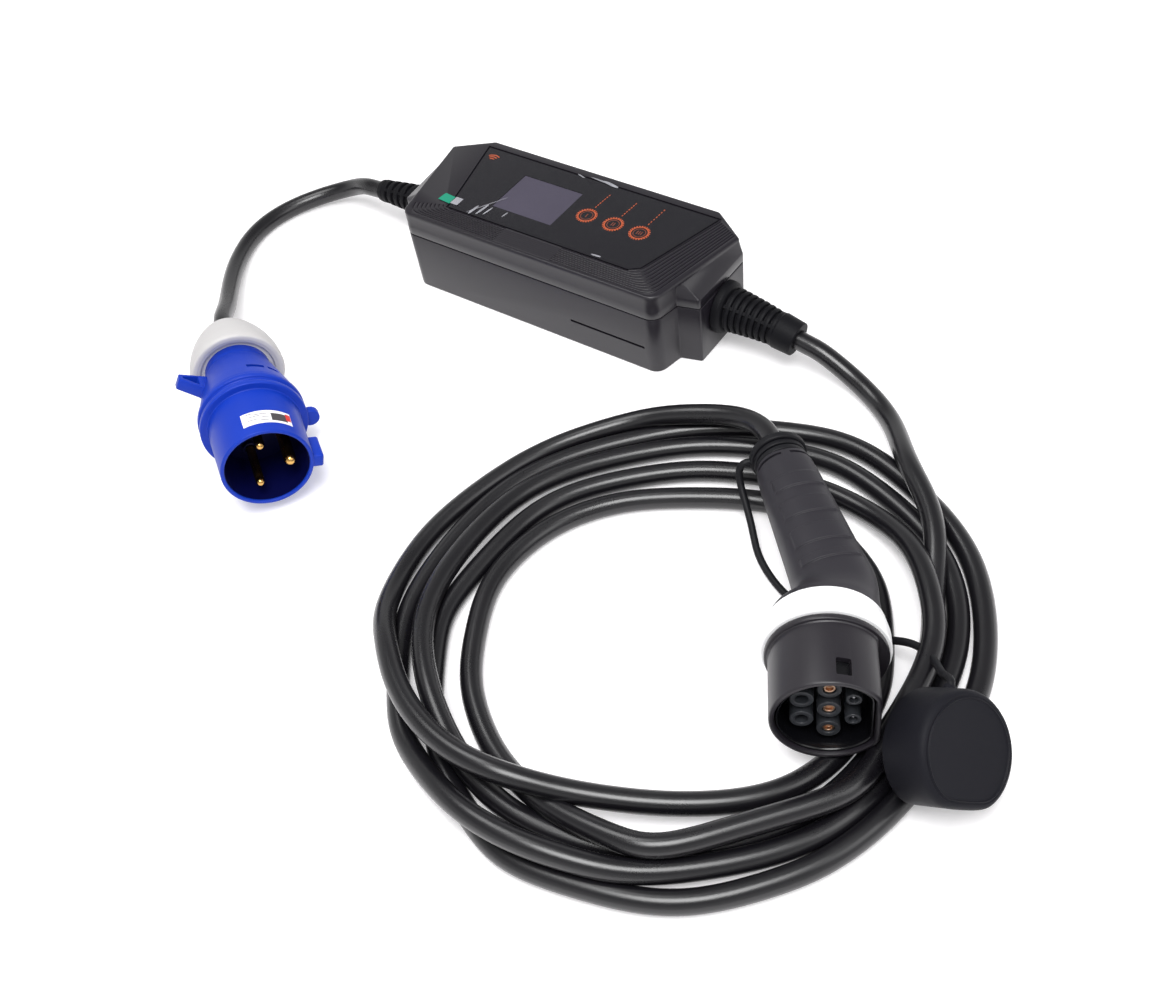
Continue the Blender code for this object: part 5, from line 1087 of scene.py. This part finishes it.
def make_relief(name, node, side, radii, ribs, collar_radius, collar_length, droop, yaw):
    flange, first_rib, last_rib = radii
    root = RELIEF_ROOT_X + (LEFT_SHIFT if side < 0 else 0.0)
    length = relief_length(root, collar_radius, droop, yaw)
    start = RELIEF_FLANGE + 0.0006
    pitch = (length - collar_length - start) / ribs
    bore = CABLE_RADIUS + 0.0001
    neck = flange * 0.72
    outline = [(bore, -RELIEF_NECK), (neck, -RELIEF_NECK), (neck, 0.0), (flange, 0.0), (flange - 0.0004, RELIEF_FLANGE - 0.0016)]
    outline.append((flange - 0.0024, RELIEF_FLANGE))
    webs = []
    for rib in range(ribs):
        share = rib / max(ribs - 1, 1)
        top = first_rib + (last_rib - first_rib) * share
        base = start + rib * pitch
        outline += [
            (top - RIB_DEPTH, base), (top - RIB_DEPTH, base + pitch * 0.40), (top, base + pitch * 0.44),
            (top - 0.0003, base + pitch * 0.97)]
        webs.append((top - 0.0003, base))
    outline += [
        (collar_radius, length - collar_length + 0.0004), (collar_radius - 0.0008, length), (bore, length)]
    relief = turned(fillet(outline, 0.0007, 4, closed=True), None, 72)
    webs.append((collar_radius - 0.0004, length - collar_length + 0.0010))
    for turn in (45.0, 135.0, 225.0, 315.0):
        rings = []
        for top, height in webs:
            rings.append([
                (bore + 0.001, -WEB_WIDTH / 2, height), (top, -WEB_WIDTH / 2, height), (top, WEB_WIDTH / 2, height),
                (bore + 0.001, WEB_WIDTH / 2, height)])
        joined(relief, stacked(rings, spin_place(turn)))
    piece(name, bend_relief(relief, root, length, droop, yaw, side), RELIEF_BLACK, nodes=(node,))


make_relief(
    "output_relief", "output_strain_relief", 1, (0.0192, 0.0160, 0.0125), 8, 0.0130, 0.0150, math.radians(10.0),
    math.radians(-3.0))
make_relief(
    "input_relief", "input_strain_relief", -1, (0.0150, 0.0125, 0.0092), 6, 0.0092, 0.0050, math.radians(7.0),
    math.radians(1.0))


# Case: plan corners counter-clockwise from the front right corner

FRONT_HALF = 0.108
WIDE_HALF = 0.1255
BACK_HALF = 0.098
FRONT_Y = -0.0505
BACK_Y = 0.0525
WIDE_Y = 0.033
LUG_ROOT_Y = -0.029
LUG_FRONT_Y = -0.025
LUG_HALF = 0.128
BOTTOM_DRAFT = 0.0008
PARTING_Z = 0.048
FACET_Z = 0.056
RIM_Z = 0.0645
TOP_Z = 0.068
ROUND_Z = 0.0658
RIM_INSET = 0.0016
CASE_WALL = 0.0028
FLOOR_WALL = 0.003
CORNER_RADII = (0.010, 0.0012, 0.0025, 0.0025, 0.004, 0.004, 0.0025, 0.0025, 0.0012, 0.008)
CORNER_STEPS = 9


def offset_corners(corners, distance):
    """Move each side of a counter-clockwise outline inwards and meet the sides again."""
    moved = []
    for i, corner in enumerate(corners):
        here = Vector(corner)
        into = (here - Vector(corners[i - 1])).normalized()
        away = (Vector(corners[(i + 1) % len(corners)]) - here).normalized()
        normal_in = Vector((-into.y, into.x))
        middle = (normal_in + Vector((-away.y, away.x))).normalized()
        moved.append(here + middle * (distance / middle.dot(normal_in)))
    return moved


def round_corners(corners, radii):
    """Replace each corner with the same number of points on its arc."""
    outline = []
    for i, corner in enumerate(corners):
        here = Vector(corner)
        to_before = (Vector(corners[i - 1]) - here).normalized()
        to_after = (Vector(corners[(i + 1) % len(corners)]) - here).normalized()
        half_angle = to_before.angle(to_after) / 2
        start = here + to_before * (radii[i] / math.tan(half_angle))
        end = here + to_after * (radii[i] / math.tan(half_angle))
        centre = here + (to_before + to_after).normalized() * (radii[i] / math.sin(half_angle))
        first = start - centre
        sweep = first.angle_signed(end - centre)
        for step in range(CORNER_STEPS):
            turn = -sweep * step / (CORNER_STEPS - 1)
            x = first.x * math.cos(turn) - first.y * math.sin(turn)
            y = first.x * math.sin(turn) + first.y * math.cos(turn)
            outline.append(centre + Vector((x, y)))
    return outline


def both_sides(right):
    return right + [(-x - LEFT_SHIFT, y) for x, y in reversed(right)]


FLARE = (WIDE_HALF - FRONT_HALF) / (WIDE_Y - FRONT_Y)
LUG_ROOT_X = FRONT_HALF + FLARE * (LUG_ROOT_Y - FRONT_Y)
COVER_LUG_Y = LUG_FRONT_Y + 0.002
BODY_PLAN = both_sides([
    (FRONT_HALF, FRONT_Y), (LUG_ROOT_X, LUG_ROOT_Y), (LUG_HALF, LUG_FRONT_Y), (LUG_HALF, WIDE_Y),
    (BACK_HALF, BACK_Y)])
COVER_LUG_X = FRONT_HALF + FLARE * (COVER_LUG_Y - FRONT_Y)
COVER_PLAN = both_sides([
    (FRONT_HALF, FRONT_Y), (LUG_ROOT_X, LUG_ROOT_Y), (COVER_LUG_X, COVER_LUG_Y), (WIDE_HALF, WIDE_Y),
    (BACK_HALF, BACK_Y)])


def body_ring(inset, height):
    radii = [max(radius - inset, 0.0006) for radius in CORNER_RADII]
    radii[1] = radii[8] = CORNER_RADII[1] + inset
    return [(p.x, p.y, height) for p in round_corners(offset_corners(BODY_PLAN, inset), radii)]


def cover_ring(inset, height):
    radii = [max(radius - inset, 0.0006) for radius in CORNER_RADII]
    for corner in (1, 2, 7, 8):
        radii[corner] = 0.0008
    return [(p.x, p.y, height) for p in round_corners(offset_corners(COVER_PLAN, inset), radii)]


SCREW_PLACES = [(x * 0.096, y * 0.038) for x in (-1, 1) for y in (-1, 1)]


def across_bar(x, radius, length):
    """A round cutter on X through a lug."""
    turn = Matrix.Translation((x, OUTLET_Y, OUTLET_Z)) @ Matrix.Rotation(math.pi / 2, 4, 'Y')
    return drum((0.0, 0.0, 0.0), radius, length, turn)


def make_lower_case():
    rings = [
        body_ring(BOTTOM_DRAFT + 0.0012, 0.0), body_ring(BOTTOM_DRAFT + 0.0005, 0.0003),
        body_ring(BOTTOM_DRAFT + 0.0001, 0.0008), body_ring(BOTTOM_DRAFT, 0.0014), body_ring(0.0, PARTING_Z - 0.0006),
        body_ring(0.0002, PARTING_Z - 0.0002), body_ring(0.0006, PARTING_Z), body_ring(CASE_WALL, PARTING_Z),
        body_ring(BOTTOM_DRAFT + CASE_WALL, FLOOR_WALL)]
    case = stacked(rings)
    cutters = [
        block(((0.034 + 0.097) / 2, FRONT_Y + 0.0008, 0.021), (0.063, 0.0028, 0.0019), bevel=0.0003),
        across_bar(0.118, 0.0142, 0.030), across_bar(-0.118 - LEFT_SHIFT, 0.0111, 0.030)]
    cutters += [drum((x, y, 0.0025), 0.0038, 0.0070) for x, y in SCREW_PLACES]
    piece("case_lower", carved(case, *cutters), CASE_BLACK, nodes=("lower_case",))
    bosses = bmesh.new()
    for x, y in SCREW_PLACES:
        boss = [(0.0021, 0.0060), (0.0050, 0.0060), (0.0050, 0.0445), (0.0021, 0.0445)]
        joined(bosses, turned(boss, Matrix.Translation((x, y, 0.0)), 32))
        cup = [(0.0038, 0.0010), (0.0054, 0.0010), (0.0054, 0.0062), (0.0038, 0.0062)]
        joined(bosses, turned(cup, Matrix.Translation((x, y, 0.0)), 32))
    piece("case_bosses", bosses, CASE_BLACK)


# Ridges of the cover: left and right run of the outermost and the innermost one
RIDGE_COUNT = 9
RIDGE_SECTION = (
    (0.00100, 0.00060), (0.00078, 0.00002), (0.00056, -0.00007), (0.00036, -0.00021), (0.00022, -0.00060))
PLATE_LEFT_X = -0.0290
PLATE_RIGHT_X = 0.0205
OUTER_LEFT = ((-0.1095, -0.0370), (-0.1075, -0.0440), (-0.1020, -0.0468), (PLATE_LEFT_X, -0.0468))
INNER_LEFT = ((-0.0855, -0.0290), (-0.0843, -0.0308), (-0.0820, -0.0322), (PLATE_LEFT_X, -0.0322))
OUTER_RIGHT = ((PLATE_RIGHT_X, -0.0468), (0.0960, -0.0468), (0.1018, -0.0446), (0.1052, -0.0400), (0.1212, 0.0335))
INNER_RIGHT = ((PLATE_RIGHT_X, -0.0322), (0.0745, -0.0322), (0.0803, -0.0304), (0.0845, -0.0255), (0.1045, 0.0425))


def ridge_cutter(outer, inner, share):
    path = [Vector(a).lerp(Vector(b), share) for a, b in zip(outer, inner)]
    path = [Vector(point) for point in fillet(path, 0.0050, 5)]
    rings = []
    for i, point in enumerate(path):
        along = (path[min(i + 1, len(path) - 1)] - path[max(i - 1, 0)]).normalized()
        across = Vector((-along.y, along.x))
        section = RIDGE_SECTION + tuple((-w, h) for w, h in reversed(RIDGE_SECTION))
        rings.append([(point.x + across.x * w, point.y + across.y * w, TOP_Z + h) for w, h in section])
    return stacked(rings)


PANEL_PLAN = (
    (-0.0845, -0.0310), (0.0750, -0.0310), (0.0826, -0.0254), (0.1029, 0.0447), (-0.1029, 0.0447), (-0.0872, -0.0152))
PANEL_TOP = 0.0678
DISPLAY = (-0.0286, 0.0060)


def panel_ring(inset, height):
    return [(p.x, p.y, height) for p in offset_corners(PANEL_PLAN, inset)]


def make_cover():
    low = PARTING_Z + 0.0006
    rings = [
        body_ring(0.0006, low), body_ring(0.0002, low + 0.0002), body_ring(0.0, low + 0.0006),
        body_ring(0.0, FACET_Z - 0.0003), body_ring(0.0002, FACET_Z + 0.0003),
        cover_ring(0.0, RIM_Z), cover_ring(0.0, ROUND_Z)]
    for step in range(1, 7):
        turn = math.radians(90.0 * step / 6)
        rings.append(cover_ring(RIM_INSET * (1 - math.cos(turn)), ROUND_Z + (TOP_Z - ROUND_Z) * math.sin(turn)))
    cover = stacked(rings)
    hollow = stacked([
        body_ring(CASE_WALL, low - 0.001), body_ring(CASE_WALL, FACET_Z - 0.001),
        cover_ring(CASE_WALL + 0.001, RIM_Z - 0.0025), cover_ring(CASE_WALL + 0.0015, TOP_Z - 0.0038)])
    pocket = stacked([panel_ring(-0.0007, TOP_Z - 0.0012), panel_ring(-0.0007, TOP_Z + 0.001)])
    window = block((*DISPLAY, TOP_Z), (0.0548, 0.0434, 0.02))
    cutters = [hollow, pocket, window]
    for number in range(RIDGE_COUNT):
        share = number / (RIDGE_COUNT - 1)
        cutters.append(ridge_cutter(OUTER_LEFT, INNER_LEFT, share))
        cutters.append(ridge_cutter(OUTER_RIGHT, INNER_RIGHT, share))
    piece("case_cover", carved(cover, *cutters), CASE_BLACK, angle=28.0, nodes=("upper_cover",))


make_lower_case()
make_cover()


# Marks printed on the panel, as thin raised ink

INK = 0.00006
INK_Z = PANEL_TOP + 0.00001
KEY_X = (0.0149, 0.0377, 0.0600)
KEY_Y = 0.0066
TOOTH_COUNT = 24


def ink_bar(start, end, width):
    """A thin straight line of ink between two points."""
    along = Vector(end) - Vector(start)
    place = Matrix.Translation((*((Vector(start) + Vector(end)) / 2), INK_Z + INK / 2))
    place = place @ Matrix.Rotation(math.atan2(along.y, along.x), 4, 'Z')
    return block((0.0, 0.0, 0.0), (along.length, width, INK), place)


def ink_ring(centre, inner, outer):
    profile = [(inner, INK_Z), (outer, INK_Z), (outer, INK_Z + INK), (inner, INK_Z + INK)]
    return turned(profile, Matrix.Translation((*centre, 0.0)), 64)


def make_panel_marks():
    rings = bmesh.new()
    dials = bmesh.new()
    for number, x in enumerate(KEY_X):
        centre = Vector((x, KEY_Y))
        joined(rings, ink_ring(centre, 0.0059, 0.0068))
        for tooth in range(TOOTH_COUNT):
            turn = 2 * math.pi * tooth / TOOTH_COUNT
            ray = Vector((math.cos(turn), math.sin(turn)))
            joined(rings, ink_bar(centre + ray * 0.0067, centre + ray * 0.0079, 0.0011))
        joined(dials, ink_ring(centre, 0.0042, 0.0048))
        for stroke in range(number + 1):
            shift = Vector(((stroke - number / 2) * 0.0017, 0.0))
            joined(dials, ink_bar(centre + shift + Vector((0, -0.0019)), centre + shift + Vector((0, 0.0019)), 0.0008))
    for x, first, last in ((0.0152, 0.0170, 0.0355), (0.0382, 0.0170, 0.0355), (0.0606, 0.0170, 0.0385)):
        for dash in range(7):
            low = first + (last - first) * dash / 7
            joined(rings, ink_bar((x + 0.0002 * dash, low), (x + 0.0002 * dash, low + 0.0017), 0.0007))
    for arc in range(3):
        place = Matrix.Translation((-0.0910, 0.0300, 0.0)) @ Matrix.Rotation(math.radians(58.0), 4, 'Z')
        radius = 0.0024 + 0.0022 * arc
        bm = bmesh.new()
        corners = [
            (radius, 0.0, INK_Z), (radius + 0.0010, 0.0, INK_Z), (radius + 0.0010, 0.0, INK_Z + INK),
            (radius, 0.0, INK_Z + INK)]
        loop = [bm.verts.new(corner) for corner in corners]
        edges = [bm.edges.new(pair) for pair in zip(loop, loop[1:] + loop[:1])]
        face = bmesh.ops.edgeloop_fill(bm, edges=edges)["faces"]
        bmesh.ops.spin(
            bm, geom=face, cent=(0, 0, 0), axis=(0, 0, 1), dvec=(0, 0, 0), angle=math.radians(78.0), steps=14,
            use_merge=False, use_duplicate=False)
        close_up(bm)
        bmesh.ops.transform(bm, matrix=place, verts=bm.verts)
        joined(rings, bm)
    piece("key_rings", rings, MARK_ORANGE)
    piece("key_dials", dials, MARK_BROWN)


def glint(start, end, width, height):
    """A thin raised lens of pale film over a fold: its pale colour paints the highlight where the fold catches the
    light.
    """
    along = Vector(end) - Vector(start)
    normal = Vector((-along.y, along.x)).normalized() * width / 2
    middle = (Vector(start) + Vector(end)) / 2
    bm = bmesh.new()
    rim = []
    for step in range(24):
        turn = 2 * math.pi * step / 24
        point = middle + along * (math.cos(turn) / 2) + normal * math.sin(turn)
        rim.append(bm.verts.new((point.x, point.y, FILM_TOP)))
    edges = [bm.edges.new(pair) for pair in zip(rim, rim[1:] + rim[:1])]
    face = bmesh.ops.edgeloop_fill(bm, edges=edges)["faces"]
    made = bmesh.ops.extrude_face_region(bm, geom=face)["geom"]
    top = [item for item in made if isinstance(item, bmesh.types.BMVert)]
    for vert in top:
        flat = Vector((middle.x, middle.y, 0.0))
        vert.co = flat + (vert.co - flat) * 0.55
        vert.co.z = FILM_TOP + height
    return close_up(bm)


FILM_TOP = 0.06832
# Clear end of the pull tab, which lies over the panel's edge
TAB_END = (-0.0818, -0.0226, 0.06843)
TAB_END_SIZE = (0.0064, 0.0080, 0.00016)
# Pale lenses over folds of the film, by their two ends and width: painted highlights where the folds catch the light
GLINT_STREAKS = (
    ((-0.0672, -0.0300), (-0.0497, -0.0020), 0.0007),
    ((-0.0648, -0.0308), (-0.0634, -0.0195), 0.0022),
    ((-0.0593, -0.0288), (-0.0573, -0.0152), 0.0020),
    ((-0.0543, -0.0270), (-0.0524, -0.0168), 0.0013),
    ((-0.0397, -0.0231), (-0.0387, -0.0166), 0.0012),
    ((-0.0085, 0.0459), (0.0175, 0.0442), 0.0016),
    ((0.0030, 0.0460), (0.0172, 0.0434), 0.0026),
    ((-0.0195, 0.0448), (-0.0119, 0.0429), 0.0012),
    ((0.0432, -0.0287), (0.0513, -0.0283), 0.0016),
)


def make_film_glints():
    glint_marks = bmesh.new()
    for start, end, width in GLINT_STREAKS:
        joined(glint_marks, glint(start, end, width, 0.00010))
    # The clear end of the pull tab is in the same pale film
    joined(glint_marks, block(TAB_END, TAB_END_SIZE))
    piece("fold_glints_and_tab_end", glint_marks, FILM_GLINT)


make_panel_marks()
make_film_glints()


# Floor and light

AMBIENT = 0.58
OVERHEAD = 0.34


def make_floor():
    bm = bmesh.new()
    bmesh.ops.create_grid(bm, x_segments=1, y_segments=1, size=6.0)
    mesh = bpy.data.meshes.new("floor")
    bm.to_mesh(mesh)
    bm.free()
    floor = bpy.data.objects.new("floor", mesh)
    bpy.context.scene.collection.objects.link(floor)
    finish = Finish("floor_white", (0.80, 0.79, 0.80), 0.9)
    rays = finish.nodes.new("ShaderNodeLightPath")
    seen = Wire(finish, rays.outputs["Is Camera Ray"])
    glossy = Wire(finish, rays.outputs["Is Glossy Ray"])
    through = Wire(finish, rays.outputs["Is Transmission Ray"])
    finish.set("Emission Color", (1.0, 0.99, 1.0, 1.0))
    finish.set("Emission Strength", (seen + glossy + through) * 0.30)
    paint(floor, finish.material)


def make_world():
    """White round the horizon and darker overhead for glossy rays, plain white for the rest."""
    world = bpy.data.worlds.new("studio")
    bpy.context.scene.world = world
    world.use_nodes = True
    nodes = world.node_tree.nodes
    links = world.node_tree.links
    ambient = nodes["Background"]
    ambient.inputs["Color"].default_value = (1.0, 1.0, 1.0, 1.0)
    ambient.inputs["Strength"].default_value = AMBIENT
    white = nodes.new("ShaderNodeBackground")
    studio = nodes.new("ShaderNodeBackground")
    place = nodes.new("ShaderNodeTexCoord")
    parts = nodes.new("ShaderNodeSeparateXYZ")
    links.new(place.outputs["Generated"], parts.inputs[0])
    fade = nodes.new("ShaderNodeMapRange")
    fade.interpolation_type = 'SMOOTHSTEP'
    fade.inputs["From Min"].default_value = 0.36
    fade.inputs["From Max"].default_value = 0.62
    fade.inputs["To Min"].default_value = 1.0
    fade.inputs["To Max"].default_value = OVERHEAD
    links.new(parts.outputs["Z"], fade.inputs["Value"])
    links.new(fade.outputs["Result"], studio.inputs["Strength"])
    rays = nodes.new("ShaderNodeLightPath")
    reflected = nodes.new("ShaderNodeMixShader")
    links.new(rays.outputs["Is Glossy Ray"], reflected.inputs["Fac"])
    links.new(ambient.outputs["Background"], reflected.inputs[1])
    links.new(studio.outputs["Background"], reflected.inputs[2])
    shown = nodes.new("ShaderNodeMath")
    shown.operation = 'ADD'
    shown.use_clamp = True
    links.new(rays.outputs["Is Camera Ray"], shown.inputs[0])
    links.new(rays.outputs["Is Transmission Ray"], shown.inputs[1])
    mix = nodes.new("ShaderNodeMixShader")
    links.new(shown.outputs[0], mix.inputs["Fac"])
    links.new(reflected.outputs["Shader"], mix.inputs[1])
    links.new(white.outputs["Background"], mix.inputs[2])
    links.new(mix.outputs["Shader"], nodes["World Output"].inputs["Surface"])


def make_lamp(name, place, aim, size, power):
    data = bpy.data.lights.new(name, 'AREA')
    data.shape = 'RECTANGLE'
    data.size, data.size_y = size
    data.energy = power
    lamp = bpy.data.objects.new(name, data)
    bpy.context.scene.collection.objects.link(lamp)
    lamp.location = place
    lamp.rotation_mode = 'QUATERNION'
    lamp.rotation_quaternion = (Vector(aim) - Vector(place)).to_track_quat('-Z', 'Y')


make_floor()
make_world()
make_lamp("softbox_main", (-0.5, -0.15, 1.5), (0.1, -0.15, 0.0), (0.7, 0.7), 8.0)
make_lamp("softbox_camera", (0.45, -0.6, 1.35), (0.15, -0.2, 0.0), (0.7, 0.7), 19.0)
make_lamp("softbox_right", (1.3, -0.1, 1.0), (0.15, -0.1, 0.0), (0.6, 0.8), 3.5)
bpy.context.scene.view_settings.view_transform = 'Standard'
